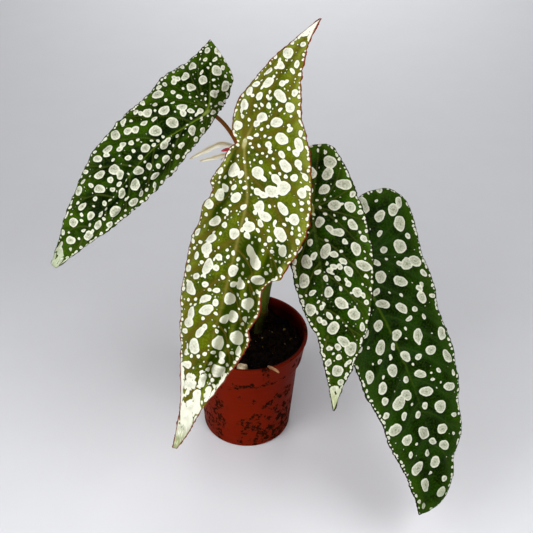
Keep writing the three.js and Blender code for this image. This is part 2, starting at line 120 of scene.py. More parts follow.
# Each leaf: where the petiole meets the blade, the blade's angles in degrees, the radius of its
# droop, and its outline as [along, one edge, midrib, other edge]. drop is how far each half hangs
# from the midrib in degrees, lobe_drop its share at the lobe's end, curl a growing fall in mm for
# each square mm, and pleats the lengthwise folds as (share of the half width, from, to, depth).
# spots lists (tries, smallest radius, largest radius, gap) from the largest spots to the specks,
# fused is the share of them that may touch, and tip_white and lobe_white are the lengths at the
# blade's two ends where they have grown together. scallops is their depth on each edge. rise and
# arrive are the petiole's ways off the cane and into the blade, and reach how far it keeps to each.
LEAVES = {
    "left": dict(
        root=[-17.9, -5, 187.5], heading=60, pitch=25, bend=250, roll=-20,
        rise=[0.05, 0.3, 1], arrive=[-0.46, -0.6, 0.65], reach=[22, 20],
        drop=[0, 60], lobe_drop=0.5, curl=[0, 0],
        pleats=[(0.24, 0, 88, 1.2), (0.66, 14, 80, 0.9), (-0.14, 4, 88, 0.9), (-0.5, 30, 80, 0.7)],
        outline=[
            [-20.4, -30.4, -26.5, -14.5], [-19.4, -30, -25.5, -10], [-18, -29.6, -24, -8],
            [-16, -29, -21.5, -5.6], [-12, -28, -16.5, -1.8], [-7, -27.8, -9.5, 1.5], [-2, -27.9, -2.7, 4],
            [3, -27.8, 0, 6.6], [7, -27.5, -0.3, 8.4], [13, -26.1, -0.9, 10], [20, -25.4, -2, 11.2],
            [28, -24.6, -2.4, 13.8], [38, -24.1, -1.5, 14.3], [48, -22.1, 0.5, 14.4], [54, -19.3, 1.4, 14],
            [60, -17.7, 2.1, 13], [70, -12.8, 3.1, 10.9], [80, -7.8, 3.5, 8.3], [90, -2.8, 2.8, 5.2],
            [95, -0.4, 2, 3.4],
        ],
        spots=[(240, 1.7, 2.6, 1.9), (320, 1, 1.5, 1.1), (260, 0.5, 0.85, 0.8), (140, 0.22, 0.34, 0.6)],
        tip_white=8, lobe_white=0, fused=0.2, scallops=[0.35, 0.9], seed=11,
    ),
    "centre": dict(
        root=[-1.5, -34, 190.8], heading=21, pitch=50, bend=380, roll=-10,
        rise=[0, -0.6, 1], arrive=[-0.1, -0.75, 0.65], reach=[12, 12],
        drop=[10, 0], lobe_drop=0.3, curl=[0.012, 0],
        pleats=[(0.25, 30, 112, 3.1), (0.72, 30, 112, 2.8), (-0.6, -12, 50, 1.5)],
        outline=[
            [-57, 15.4, 15.8, 16.2], [-50, 10.4, 13, 14.9], [-43, 6.1, 10.5, 14.3], [-37, 1.9, 8.5, 14.7],
            [-30, -1.7, 6, 15.6], [-23, -4.7, 4.5, 17.6], [-15, -7.8, 3, 19.8], [-8, -8, 1.5, 23.7],
            [-2, -6.6, 0.4, 26.6], [1.5, -3.6, 0.2, 28], [4.5, -6, 0.8, 28.9], [10, -7.5, 2.5, 30.5],
            [19, -11.5, 5.6, 32.8], [23, -9.3, 6.7, 33.5], [29, -12, 6.9, 33.8], [36, -12.2, 6.7, 32.9],
            [42, -14, 6.7, 31.1], [48, -14.1, 6.6, 28.6], [52, -13.8, 6.5, 27.6], [53.5, -13.7, 6.5, 24.2],
            [58.5, -13.9, 6.4, 21.2], [67, -13.8, 6, 22.3], [76, -11.3, 5.3, 19.3], [81, -11, 4.9, 20.4],
            [97, -6.9, 2.9, 14.2], [107, -5.2, 1.6, 9.4], [116, -3.9, 0.2, 5.2], [126, -4.1, -1.7, 1.6],
            [134, -4.5, -3.3, -2.1],
        ],
        spots=[(400, 1.9, 2.8, 1.5), (360, 1.1, 1.6, 0.95), (560, 0.5, 0.9, 0.65), (420, 0.24, 0.38, 0.5)],
        tip_white=48, lobe_white=13, fused=0.32, scallops=[0.2, 0.1], seed=23,
    ),
    "right": dict(
        root=[26.8, -36, 160.5], heading=-8, pitch=54, bend=300, roll=3,
        rise=[0.5, -0.4, 0.9], arrive=[0.35, -0.75, 0.55], reach=[16, 14],
        drop=[20, 0], lobe_drop=0.5, curl=[0, 0], pleats=[],
        outline=[
            [-26.3, 2.5, 4.5, 7.5], [-25, -1.5, 4.6, 10.3], [-23, -3.4, 4.4, 12], [-18, -6, 3.4, 14.6],
            [-12, -6.6, 2.3, 17.2], [-6, -4.6, 1.1, 19], [-1, -2.6, 0, 20.7], [2, -7.2, 0.2, 21.7],
            [6, -10, 0.5, 22.9], [12, -11.8, 1, 23.8], [19, -11.7, 1.8, 24.8], [26, -10.2, 2.5, 25.2],
            [34, -9, 3.1, 24.9], [42, -6.8, 3.6, 23.8], [50, -3.4, 4.2, 22.6], [56, 0, 4.7, 21.2],
            [64, 1.2, 5.5, 17.6], [72, 3.2, 6, 14.6], [80, 4.6, 6.4, 10.6], [90, 6.3, 6.7, 7.1],
        ],
        spots=[(340, 2, 2.9, 1.9), (300, 1.1, 1.6, 1.2), (170, 0.5, 0.85, 0.9), (110, 0.22, 0.36, 0.7)],
        tip_white=14, lobe_white=0, fused=0.24, scallops=[0.1, 0.3], seed=37,
    ),
    "far_right": dict(
        root=[49.9, -30, 131], heading=-25, pitch=50, bend=400, roll=-4,
        rise=[0.8, -0.25, 0.7], arrive=[0.55, -0.6, 0.55], reach=[20, 16],
        drop=[0, 0], lobe_drop=1, curl=[0, 0], pleats=[],
        outline=[
            [-27.2, 12, 15.5, 19.5], [-26, 7.5, 14, 22.9], [-22, 1, 11, 27.7], [-16, -4, 7, 30.9],
            [-10, -5.2, 3.7, 31.3], [-3, -2.6, 0.6, 30.4], [0, -5, 0, 30.4], [3, -9.4, 0, 30.7],
            [8, -12, 0.2, 31.4], [15, -14.4, 0.8, 32.4], [24, -16.2, 2.4, 33], [33, -16.9, 5, 33.1],
            [43, -16.2, 7.6, 34.5], [54, -14.4, 10, 36.8], [60, -12.9, 11.3, 36.4],
            [65, -11.2, 12.3, 36.2], [76, -7.5, 14.2, 34.8], [88, -4.9, 15.3, 33.8],
            [98, -1.2, 14.8, 30.6], [103, 0.6, 14, 27.8], [108, 2, 12.8, 26.4], [116, 4.1, 10.5, 23],
            [122, 4.4, 8.3, 18.6], [124.3, 5, 7.2, 11],
        ],
        spots=[(360, 2.3, 3.2, 3), (240, 1.2, 1.8, 1.9), (90, 0.5, 0.9, 1.7), (60, 0.24, 0.36, 1.4)],
        tip_white=0, lobe_white=0, fused=0.14, scallops=[0.1, 0.25], seed=41,
    ),
}

# Growing tip: each sheath's or bud's path, half width and flatness
TIP_SHOOTS = {
    "stipule_upper": dict(
        path=[
            [-7.1, -13.6, 176.1], [-12.4, -14.5, 177], [-17.1, -15, 175], [-21.4, -15, 172.4],
            [-26, -14.5, 169.2],
        ],
        width=2, flatness=0.36,
    ),
    "stipule_lower": dict(
        path=[[-7.3, -15.3, 172.6], [-11.6, -17, 172.9], [-15.9, -17.8, 172], [-21.5, -17, 169.8]],
        width=1.6, flatness=0.36,
    ),
    "stipule_drooping": dict(
        path=[[-6.4, -12.4, 171.9], [-9.8, -12.8, 171.5], [-11.6, -13.4, 170], [-12.5, -13.5, 168.2]],
        width=1, flatness=0.5,
    ),
    "leaf_bud": dict(
        path=[[-7.9, -14.4, 174.6], [-9.6, -15.2, 174.9], [-11, -15.5, 174.7], [-12.3, -15.7, 174.3]],
        width=0.9, flatness=0.7,
    ),
}

PERLITE_PLACE = [-2, -25.1, 56.9]
PERLITE_SIZE = [2.8, 2.3, 3.9]
CHIP_PATH = [[10.2, -26.2, 60.75], [11.9, -27.6, 60.75], [13.7, -28.9, 60.8], [15.9, -30.6, 60.2]]
CHIP_WIDTH = 1.2
CHIP_FLATNESS = 0.3


# Meshes

def put(name, data):
    """A new object of the scene."""
    thing = bpy.data.objects.new(name, data)
    bpy.context.scene.collection.objects.link(thing)
    return thing


def as_built(thing):
    """The mesh that an object's modifiers give."""
    graph = bpy.context.evaluated_depsgraph_get()
    return bpy.data.meshes.new_from_object(thing.evaluated_get(graph))


def new_piece(name, points, faces, look):
    """A smooth mesh object from points in millimetres, with its place in its mesh."""
    mesh = bpy.data.meshes.new(name)
    mesh.from_pydata((np.asarray(points) * MM).tolist(), [], faces)
    mesh.materials.append(look)
    mesh.polygons.foreach_set("use_smooth", [True] * len(mesh.polygons))
    return put(name, mesh)


def corners_of(piece):
    """A piece's points, in millimetres."""
    return np.array([corner.co for corner in piece.data.vertices]) / MM


def seat(piece, slot, *nodes):
    """The piece rides with the pot and stands for the frame's nodes; slot is not used."""
    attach(piece, "root")
    if nodes:
        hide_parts(*nodes)
    return piece


def quads(index):
    """Four-cornered faces over a grid of point numbers."""
    corners = [index[:-1, :-1], index[1:, :-1], index[1:, 1:], index[:-1, 1:]]
    return np.stack(corners, -1).reshape(-1, 4).tolist()


def attribute(piece, name, values):
    """A number for each point of a piece, which its finish reads."""
    layer = piece.data.attributes.new(name, "FLOAT", "POINT")
    layer.data.foreach_set("value", np.asarray(values, np.float32).ravel())


def lumps(points, size, seed, octaves=2):
    """Soft lumps between about -1 and 1 at each point: many small waves in drawn directions."""
    draw = np.random.default_rng(seed)
    points = np.asarray(points, float)
    waves = 14
    total = np.zeros(len(points))
    for octave in range(octaves):
        way = draw.normal(size=(waves, points.shape[1]))
        way /= np.linalg.norm(way, axis=1)[:, None]
        length = size / 2 ** octave * draw.uniform(0.7, 1.4, waves)
        start = draw.uniform(0, TURN, waves)
        height = np.sin(points @ (way / length[:, None]).T * TURN + start).sum(1)
        total += height / math.sqrt(waves) / 2 ** octave
    return total


def smooth_step(value, low, high):
    t = np.clip((value - low) / (high - low), 0, 1)
    return t * t * (3 - 2 * t)


def unit(vector):
    vector = np.asarray(vector, float)
    return vector / np.linalg.norm(vector, axis=-1, keepdims=True)


def even_points(path, count):
    """Points at even distances along a finely drawn path, and the directions there."""
    gone = np.concatenate([[0], np.cumsum(np.linalg.norm(np.diff(path, axis=0), axis=1))])
    want = np.linspace(0, gone[-1], count)
    points = np.stack([np.interp(want, gone, path[:, k]) for k in range(3)], -1)
    return points, unit(np.gradient(points, axis=0))


def length_of(path):
    return np.linalg.norm(np.diff(path, axis=0), axis=1).sum()


def curve_through(points):
    """The centripetal curve through given points, drawn finely."""
    points = np.array(points, float)
    points = np.vstack([2 * points[0] - points[1], points, 2 * points[-1] - points[-2]])
    drawn = []
    for k in range(1, len(points) - 2):
        a, b, c, d = points[k - 1:k + 3]
        ab, bc, cd = (math.sqrt(np.linalg.norm(q - p)) for p, q in ((a, b), (b, c), (c, d)))
        leave = ((b - a) / ab - (c - a) / (ab + bc) + (c - b) / bc) * bc
        reach = ((c - b) / bc - (d - b) / (bc + cd) + (d - c) / cd) * bc
        t = np.linspace(0, 1, CURVE_STEPS, endpoint=False)[:, None]
        drawn.append(
            b * (1 + 2 * t) * (1 - t) ** 2 + c * t * t * (3 - 2 * t)
            + leave * t * (1 - t) ** 2 - reach * t * t * (1 - t)
        )
    return np.vstack(drawn + [points[-2:-1]])


def shoot_points(path, ways, wide, thin, broad, sides):
    """Rings of points round a path. wide and thin are the half widths of each ring."""
    flat = unit(np.cross(np.broadcast_to(broad, ways.shape), ways))
    side = np.cross(ways, flat)
    turn = np.linspace(0, TURN, sides, endpoint=False)
    return (
        path[:, None]
        + side[:, None] * (wide[:, None] * np.cos(turn))[..., None]
        + flat[:, None] * (thin[:, None] * np.sin(turn))[..., None]
    )


def reshaped(path, rings, share):
    """Rings whose points stand at a share of their distance from the path."""
    return path[:, None] + (rings - path[:, None]) * share.reshape(rings.shape[:2])[..., None]


def closed_rings(rings, first, last):
    """Points and faces of a body from rings of points, closed by a point at each end."""
    count, sides, _ = rings.shape
    index = np.arange(count * sides).reshape(count, sides)
    index = np.hstack([index, index[:, :1]])
    start, end = count * sides, count * sides + 1
    faces = quads(index)
    faces += [[start, int(index[0, k]), int(index[0, k + 1])] for k in range(sides)]
    faces += [[end, int(index[-1, k + 1]), int(index[-1, k])] for k in range(sides)]
    return np.vstack([rings.reshape(-1, 3), first, last]), faces


def closed_shoot(name, rings, look):
    """A closed piece from rings round a path."""
    points, faces = closed_rings(rings, rings[0].mean(0), rings[-1].mean(0))
    return face_outwards(new_piece(name, points, [face[::-1] for face in faces], look))


def face_outwards(piece):
    """Turns every face of a closed piece outwards."""
    shell = bmesh.new()
    shell.from_mesh(piece.data)
    bmesh.ops.recalc_face_normals(shell, faces=shell.faces)
    if shell.calc_volume(signed=True) < 0:
        bmesh.ops.reverse_faces(shell, faces=shell.faces)
    shell.to_mesh(piece.data)
    shell.free()
    return piece


def round_ends(share, length, radius):
    """How far a shoot has swelled to its full width, near its two ends."""
    near = np.minimum(share, 1 - share) * length / radius
    return np.sqrt(np.clip(near * (2 - near), 0, 1) * (near < 1) + (near >= 1))


# Finishes

def paint(code):
    """A colour as written on a paint card, six digits, as the light it gives back."""
    parts = [int(code[k:k + 2], 16) / 255 for k in (0, 2, 4)]
    return tuple(c / 12.92 if c < 0.04045 else ((c + 0.055) / 1.055) ** 2.4 for c in parts) + (1,)


def grey(level):
    """A number as a colour, for a blend that feeds a plain socket."""
    return (level,) * 3 + (1,)


class Wire:
    """An output of a node. Sums of wires add their own nodes."""

    def __init__(self, board, socket):
        self.board = board
        self.socket = socket

    def sum(self, operation, first, second):
        return self.board.add("ShaderNodeMath", {"operation": operation}, {0: first, 1: second})

    def __add__(self, other):
        return self.sum("ADD", self, other)

    def __sub__(self, other):
        return self.sum("SUBTRACT", self, other)

    def __mul__(self, other):
        return self.sum("MULTIPLY", self, other)

    def __rsub__(self, other):
        return self.sum("SUBTRACT", other, self)

    __radd__ = __add__
    __rmul__ = __mul__

    def ramp(self, low, high):
        """0 below low, 1 above high, smooth between; low may be the larger."""
        return self.board.add(
            "ShaderNodeMapRange", {"interpolation_type": "SMOOTHSTEP"},
            {0: self, 1: low, 2: high, 3: 0.0, 4: 1.0},
        )


class Board:
    """The nodes of one finish or of one tree of repeats."""

    def __init__(self, tree):
        self.tree = tree

    def add(self, kind, settings=None, sockets=None, out=0):
        """Adds a node, with its settings and what goes into its sockets, and gives one output."""
        node = self.tree.nodes.new(kind)
        for name, value in (settings or {}).items():
            setattr(node, name, value)
        for key, value in (sockets or {}).items():
            if isinstance(value, Wire):
                self.tree.links.new(value.socket, node.inputs[key])
            else:
                node.inputs[key].default_value = value
        return Wire(self, node.outputs[out]) if len(node.outputs) else None

    def blend(self, share, first, second):
        """A colour between two, each a wire, a colour or a code of the paint card."""
        first, second = (paint(side) if isinstance(side, str) else side for side in (first, second))
        return self.add("ShaderNodeMix", {"data_type": "RGBA"}, {0: share, 6: first, 7: second}, out=2)

    def coats(self, skin, *layers):
        """A skin under layers of colour, each as (share, colour), laid on one after another."""
        for share, colour in layers:
            skin = self.blend(share, skin, colour)
        return skin

    def between(self, share, low, high):
        """A number between two."""
        return self.blend(share, grey(low), grey(high))

    def dress(self, colour, rough, height, depth_mm):
        """The three sockets that every finish varies; height times depth_mm gives its fine relief."""
        relief = self.add("ShaderNodeBump", None, {"Height": height, "Distance": depth_mm * MM})
        return {"Base Color": colour, "Roughness": rough, "Normal": relief}

    def place(self):
        """Where a point is, in metres."""
        return self.add("ShaderNodeTexCoord", out="Object")

    def reading(self, name, out="Fac"):
        return self.add("ShaderNodeAttribute", {"attribute_name": name}, out=out)

    def part(self, vector, axis):
        return self.add("ShaderNodeSeparateXYZ", None, {0: vector}, out=axis)

    def stretched(self, vector, scale):
        """A vector and a scale for a texture. A scale for each axis is worked into the vector."""
        if isinstance(scale, tuple):
            return self.add("ShaderNodeVectorMath", {"operation": "MULTIPLY"}, {0: vector, 1: scale}), 1.0
        return vector, scale

    def noise(self, vector, scale, detail=2.0, rough=0.5):
        vector, scale = self.stretched(vector, scale)
        return self.add(
            "ShaderNodeTexNoise", None,
            {"Vector": vector, "Scale": scale, "Detail": detail, "Roughness": rough},
        )

    def cells(self, vector, scale, feature="DISTANCE_TO_EDGE"):
        vector, scale = self.stretched(vector, scale)
        return self.add("ShaderNodeTexVoronoi", {"feature": feature}, {"Vector": vector, "Scale": scale})


def finish(name, build, **constants):
    """A finish whose varying sockets are what build gives and whose other sockets are constants."""
    material = bpy.data.materials.new(name)
    material.use_nodes = True
    material.node_tree.nodes.clear()
    board = Board(material.node_tree)
    sockets = build(board)
    sockets.update({name.replace("_", " "): value for name, value in constants.items()})
    shader = board.add("ShaderNodeBsdfPrincipled", None, sockets)
    board.add("ShaderNodeOutputMaterial", None, {"Surface": shader})
    return material


# Camera, light and floor

FOCUS_PIXELS = 1100
FRAME_PIXELS = 533
CAMERA_PLACE = (0.0084, -0.4188, 0.4211)
CAMERA_DOWN = math.radians(37.4)
CAMERA_ROLL = math.radians(1.5)
SENSOR = 36
SUBJECT = Vector((0.01, -0.03, 0.11))
ROOM_TINT = (0.93, 0.95, 1, 1)
ROOM_LIGHT = 0.02
FLOOR_REACH = 4000


def make_camera():
    """The photo's point of view, looking down with a slight roll."""
    lens = bpy.data.cameras.new("photo_camera")
    lens.sensor_width = SENSOR
    lens.lens = FOCUS_PIXELS / FRAME_PIXELS * SENSOR
    back = Vector((0, -math.cos(CAMERA_DOWN), math.sin(CAMERA_DOWN)))
    level = Vector((1, 0, 0))
    high = back.cross(level)
    right = level * math.cos(CAMERA_ROLL) + high * math.sin(CAMERA_ROLL)
    up = high * math.cos(CAMERA_ROLL) - level * math.sin(CAMERA_ROLL)
    turn = Matrix((right, up, back)).transposed()
    camera = put("photo_camera", lens)
    camera.matrix_world = Matrix.Translation(CAMERA_PLACE) @ turn.to_4x4()
    bpy.context.scene.camera = camera


def softbox(name, place, width, power, aim=SUBJECT):
    """A square lamp turned towards its aim."""
    lamp = bpy.data.lights.new(name, "AREA")
    lamp.size = width
    lamp.energy = power
    box = put(name, lamp)
    box.location = place
    box.rotation_euler = (Vector(place) - aim).to_track_quat("Z", "Y").to_euler()


def make_studio():
    """Lamps in front of the plant, a few behind it, and a faint light from the room."""
    softbox("front_left", (-0.12, -0.5, 0.5), 0.2, 0.54)
    softbox("front_right", (0.14, -0.51, 0.51), 0.22, 0.38)
    softbox("high_left", (-0.3, -0.6, 0.65), 0.35, 0.48)
    softbox("high_right", (0.3, -0.6, 0.65), 0.35, 1.4)
    softbox("low_left", (-0.3, -0.3, 0.42), 0.3, 1.66, Vector((-0.08, -0.1, 0)))
    softbox("low_right", (0.35, -0.25, 0.45), 0.3, 1.5)
    softbox("sweep_back", (0.03, 0.72, 0.42), 0.4, 2.05, Vector((0.03, 0.62, 0)))
    softbox("fill_behind_left", (-0.6, 0.35, 0.6), 0.6, 0.14)
    softbox("fill_behind_right", (0.6, 0.35, 0.6), 0.6, 0.14)
    world = bpy.data.worlds.new("studio")
    world.use_nodes = True
    room = world.node_tree.nodes["Background"]
    room.inputs["Color"].default_value = ROOM_TINT
    room.inputs["Strength"].default_value = ROOM_LIGHT
    bpy.context.scene.world = world
    bpy.context.scene.view_settings.view_transform = "Standard"


def make_floor():
    def sheet(board):
        fibres = board.noise(board.place(), 40.0, 3.0)
        return {"Base Color": board.blend(fibres, "dfe0e4", "e3e4e8"), "Roughness": 0.85}

    corners = [[x * FLOOR_REACH, y * FLOOR_REACH, 0] for x, y in ((-1, -1), (1, -1), (1, 1), (-1, 1))]
    new_piece("floor", corners, [[0, 1, 2, 3]], finish("paper_sweep", sheet))


# Blades

def outline_at(rows, along, column):
    """The smooth curve through one column of an outline, read along the blade."""
    place, value = rows[:, 0], rows[:, column]
    slope = np.empty_like(value)
    slope[1:-1] = (value[2:] - value[:-2]) / (place[2:] - place[:-2])
    slope[0] = (value[1] - value[0]) / (place[1] - place[0])
    slope[-1] = (value[-1] - value[-2]) / (place[-1] - place[-2])
    k = np.clip(np.searchsorted(place, along, side="right") - 1, 0, len(place) - 2)
    span = place[k + 1] - place[k]
    t = (along - place[k]) / span
    return (
        value[k] * (1 + 2 * t) * (1 - t) ** 2 + value[k + 1] * t * t * (3 - 2 * t)
        + span * t * (1 - t) * (slope[k] * (1 - t) - slope[k + 1] * t)
    )


class Blade:
    """One leaf's blade: its flat outline, and where a flat point lies on the drooping leaf."""

    def __init__(self, sizes):
        self.sizes = sizes
        self.rows = np.array(sizes["outline"], float)
        self.first, self.last = self.rows[0, 0], self.rows[-1, 0]
        self.root = np.array(sizes["root"], float)
        self.veins = self.vein_lines()

    def frame(self, along):
        """The centre of the drooping arc, and the directions across and off the blade."""
        heading, start, roll = (math.radians(self.sizes[k]) for k in ("heading", "pitch", "roll"))
        bend = self.sizes["bend"]
        pitch = start + np.asarray(along, float)[..., None] / bend
        forward = np.array([-math.sin(heading), -math.cos(heading), 0])
        level = np.array([math.cos(heading), -math.sin(heading), 0])
        rise = np.array([0, 0, 1])
        up = forward * np.sin(pitch) + rise * np.cos(pitch)
        centre = self.root + forward * bend * (np.sin(pitch) - math.sin(start))
        centre = centre + rise * bend * (np.cos(pitch) - math.cos(start))
        across = level * math.cos(roll) + up * math.sin(roll)
        off = up * math.cos(roll) - level * math.sin(roll)
        return centre, across, off

    def half(self, along, share):
        """The midrib's place, the width of the half that a point is in, and its side."""
        rib = outline_at(self.rows, along, 2)
        edge = np.where(share < 0, outline_at(self.rows, along, 1), outline_at(self.rows, along, 3))
        return rib, np.abs(edge - rib), np.where(share < 0, -1, 1)

    def flat(self, along, share):
        """Millimetres across for a place given by its share of the way to an edge."""
        rib, width, side = self.half(along, share)
        return rib + side * width * np.abs(share)

    def relief(self, along, share, half):
        """How far the blade stands off its folded halves: arch, rippled edges and pleats."""
        out = np.abs(share)
        arch = BLADE_ARCH * np.minimum(1, half / 20) * np.sin(math.pi * out)
        wave = np.sin(TURN * along / RIPPLE_LENGTH + np.where(share < 0, 0, 2.1))
        relief = arch + RIPPLE * np.minimum(1, half / 12) * out * out * wave
        return relief - self.pleat(along, share)

    def pleat(self, along, share):
        """How deep in a lengthwise fold each point lies."""
        depth = np.zeros(np.shape(along))
        for middle, start, end, deepest in self.sizes["pleats"]:
            reach = smooth_step(along, start, start + 16) * smooth_step(along, end, end - 20)
            depth = depth + deepest * reach * np.exp(-((share - middle) / PLEAT_WIDTH) ** 2)
        return depth * np.minimum(1, self.half(along, share)[1] / 11)

    def surface(self, along, share):
        """Points of the blade's middle surface."""
        rib, half, side = self.half(along, share)
        width = half * np.abs(share)
        low, high = np.radians(self.sizes["drop"])
        drop = np.where(side < 0, low, high)
        drop = drop * (1 - (1 - self.sizes["lobe_drop"]) * np.clip(-along / 20, 0, 1))
        curl = np.where(side < 0, *self.sizes["curl"])
        fall = np.sin(drop) * (np.hypot(width, CREASE) - CREASE) + curl * width * width
        relief = self.relief(along, share, half)
        centre, across, off = self.frame(along)
        level = rib + side * width * np.cos(drop) + relief * side * np.sin(drop)
        return centre + across * level[:, None] + off * (relief * np.cos(drop) - fall)[:, None]

    def seat(self):
        """Where the petiole meets the blade's underside, and the way out of it there."""
        low, high = np.radians(self.sizes["drop"])
        _, across, off = self.frame(np.zeros(1))
        out = off[0] * math.cos((high - low) / 2) + across[0] * math.sin((high - low) / 2)
        return self.root, out, 1 / math.cos((high + low) / 2)

    def vein_lines(self):
        """The main veins as (flat points, half width at the start, half width at the end)."""
        t = np.linspace(0, 1, 70)
        lines = []

        def vein(start, end, share, wide, thin, lean=1.25, sweep=0.85, begin=0.0):
            along = start + (end - start) * t ** lean
            spread = begin + (share - begin) * t ** sweep
            lines.append((np.stack([self.flat(along, spread), along], -1), wide, thin))

        vein(0, self.last * 0.985, 0, 0.62, 0.2)
        vein(0, self.first * 0.94, 0, 0.45, 0.15)
        for side in (-1, 1):
            for end, share in ((self.first * 0.72, 0.9), (self.first * 0.3, 0.96), (7, 0.97)):
                vein(0, end, side * share, 0.34, 0.12, 1.1)
            vein(0, 24, side * 0.97, 0.4, 0.14, 1.35)
            start = 9 if side < 0 else 13
            while start < self.last * 0.8:
                end = start + 13 + 0.16 * (self.last - start)
                vein(start, min(end, self.last * 0.97), side * 0.97, 0.36, 0.13)
                fork = start + (end - start) * 0.5 ** 1.25
                begin = side * 0.97 * 0.5 ** 0.85
                vein(fork, min(end - 7, self.last * 0.95), side * 0.96, 0.2, 0.1, 1, 1, begin)
                start += 15 + 0.02 * start
        return lines

    def vein_reading(self, spots):
        """Distance in mm from each flat point to the edge of the nearest vein, and its direction."""
        nearest = np.full(len(spots), 1e3)
        way = np.zeros(len(spots))
        for points, wide, thin in self.veins:
            width = np.linspace(wide, thin, len(points))
            heading = np.arctan2(*np.gradient(points, axis=0).T[::-1])
            for k in range(0, len(points), 2):
                gap = np.hypot(spots[:, 0] - points[k, 0], spots[:, 1] - points[k, 1]) - width[k]
                closer = gap < nearest
                nearest[closer] = gap[closer]
                way[closer] = heading[k]
        return nearest, way


class Spots:
    """The pale spots of one blade, thrown on its flat outline from the largest to the specks."""

    def __init__(self, blade):
        self.blade = blade
        self.draw = np.random.default_rng(blade.sizes["seed"])
        self.placed = np.zeros((0, 7))
        self.rim = self.rim_line()
        for order, (tries, small, large, gap) in enumerate(blade.sizes["spots"]):
            if order == 2:
                self.line_edges()
            self.throw(tries, small, large, gap, order < 2)

    def rim_line(self):
        """Points all along both edges, half a millimetre apart."""
        along = np.arange(self.blade.first, self.blade.last, 0.5)
        edges = [np.stack([outline_at(self.blade.rows, along, column), along], -1) for column in (1, 3)]
        return np.vstack(edges)

    def from_edge(self, x, along):
        """How far inside the outline a flat point lies; less than nothing outside."""
        rows = self.blade.rows
        inside = np.minimum(x - outline_at(rows, along, 1), outline_at(rows, along, 3) - x)
        near = np.hypot(self.rim[:, 0, None] - x, self.rim[:, 1, None] - along).min(0)
        return np.where(inside > 0, near, -near)

    def place_one(self, x, along, radius, way):
        """Sets down a slightly long, slightly uneven spot that lies along the nearest vein."""
        long = radius * self.draw.uniform(1.0, 1.32)
        short = radius * radius / long
        turn = way + self.draw.normal(0, 0.45)
        starts = self.draw.uniform(0, TURN, 2)
        self.placed = np.vstack([self.placed, [x, along, long, short, turn, *starts]])

    def room(self, x, along, radius):
        """The air round a new spot: from its rim to the rim of each placed one."""
        apart = np.hypot(self.placed[:, 0] - x, self.placed[:, 1] - along)
        return np.append(apart - self.placed[:, 2:4].mean(1) - radius, 9)

    def throw(self, tries, small, large, gap, large_ones):
        """Throws spots at the outline and keeps those that find room or may touch a neighbour."""
        blade, draw = self.blade, self.draw
        margin, company, often = (0.5, 2, 1) if large_ones else (0.2, 1, 1.4)
        low, high = blade.rows[:, 1].min(), blade.rows[:, 3].max()
        across = draw.uniform(low, high, tries * 3)
        along = draw.uniform(blade.first, blade.last, tries * 3)
        away = self.from_edge(across, along)
        gap_to_vein, way = blade.vein_reading(np.stack([across, along], -1))
        for x, y, edge, vein, heading in zip(across, along, away, gap_to_vein, way):
            radius = draw.uniform(small, large)
            touching = draw.uniform() < blade.sizes["fused"] * often
            if edge < radius + margin or (large_ones and vein < radius * 0.7):
                continue
            room = self.room(x, y, radius)
            closest, close = room.min(), (room < gap * 0.6).sum()
            if closest > gap or (touching and close <= company and -0.4 * radius < closest < 0):
                self.place_one(x, y, radius, heading)

    def line_edges(self):
        """Small round spots, close together, all along both edges."""
        rows = self.blade.rows
        for column, inward in ((1, 1), (3, -1)):
            along = self.blade.first + 0.5
            while along < self.blade.last - 1:
                edge = outline_at(rows, np.array([along]), column)[0]
                slope = outline_at(rows, np.array([along + 0.5]), column)[0] - edge
                slant = math.hypot(1, 2 * slope)
                radius = self.draw.uniform(0.32, 0.85)
                depth = (radius + self.draw.uniform(0.1, 0.6)) * slant
                x = edge + inward * depth
                if self.room(x, along, radius).min() > 0.2:
                    self.place_one(x, along, radius, math.pi / 2 - math.atan(2 * slope))
                along += self.draw.uniform(1.0, 2.2) / slant

    def reading(self, flat):
        """How far, in mm, each flat point lies inside the white, how deep in a single spot, and how
        near that spot's middle it is, as a share."""
        warped = flat + np.stack([lumps(flat, 3.4, seed, 3) for seed in (71, 72)], -1) * 0.1
        gathered, middle = np.zeros(len(flat)), np.zeros(len(flat))
        for x, y, long, short, turn, second, third in self.placed:
            near = np.abs(warped[:, 1] - y) < long + 2
            away = warped[near] - (x, y)
            ahead = (away[:, 0] * math.cos(turn) + away[:, 1] * math.sin(turn)) / long
            aside = (away[:, 1] * math.cos(turn) - away[:, 0] * math.sin(turn)) / short
            angle = np.arctan2(aside, ahead)
            uneven = 1 + 0.05 * np.sin(2 * angle + second) + 0.04 * np.sin(3 * angle + third)
            inside = 1 - np.hypot(ahead, aside) / uneven
            middle[near] = np.maximum(middle[near], inside)
            gathered[near] += np.exp(np.clip(inside * math.sqrt(long * short) / SPOT_MELT, -40, 40))
        spot = SPOT_MELT * np.log(gathered + 1e-9)
        along = flat[:, 1]
        last = self.blade.last
        reach = self.blade.sizes["tip_white"]
        grown = smooth_step(along, last - reach, last - 4) if reach else np.zeros(len(flat))
        split = smooth_step(np.abs(lumps(flat * (1, 0.3), 5, 77, 2)), 0.3, 0.04)
        split = split * (1 - smooth_step(along, last - reach * 0.3, last - reach * 0.1))
        white = spot + grown * (1.7 - 2.2 * split)
        if self.blade.sizes["lobe_white"]:
            lobe_end = self.blade.first + self.blade.sizes["lobe_white"]
            white = white + 1.2 * smooth_step(along, lobe_end, self.blade.first + 3)
        return np.clip(white, -2, 3), np.clip(spot, 0, 3) * (1 - grown), middle * (1 - grown)


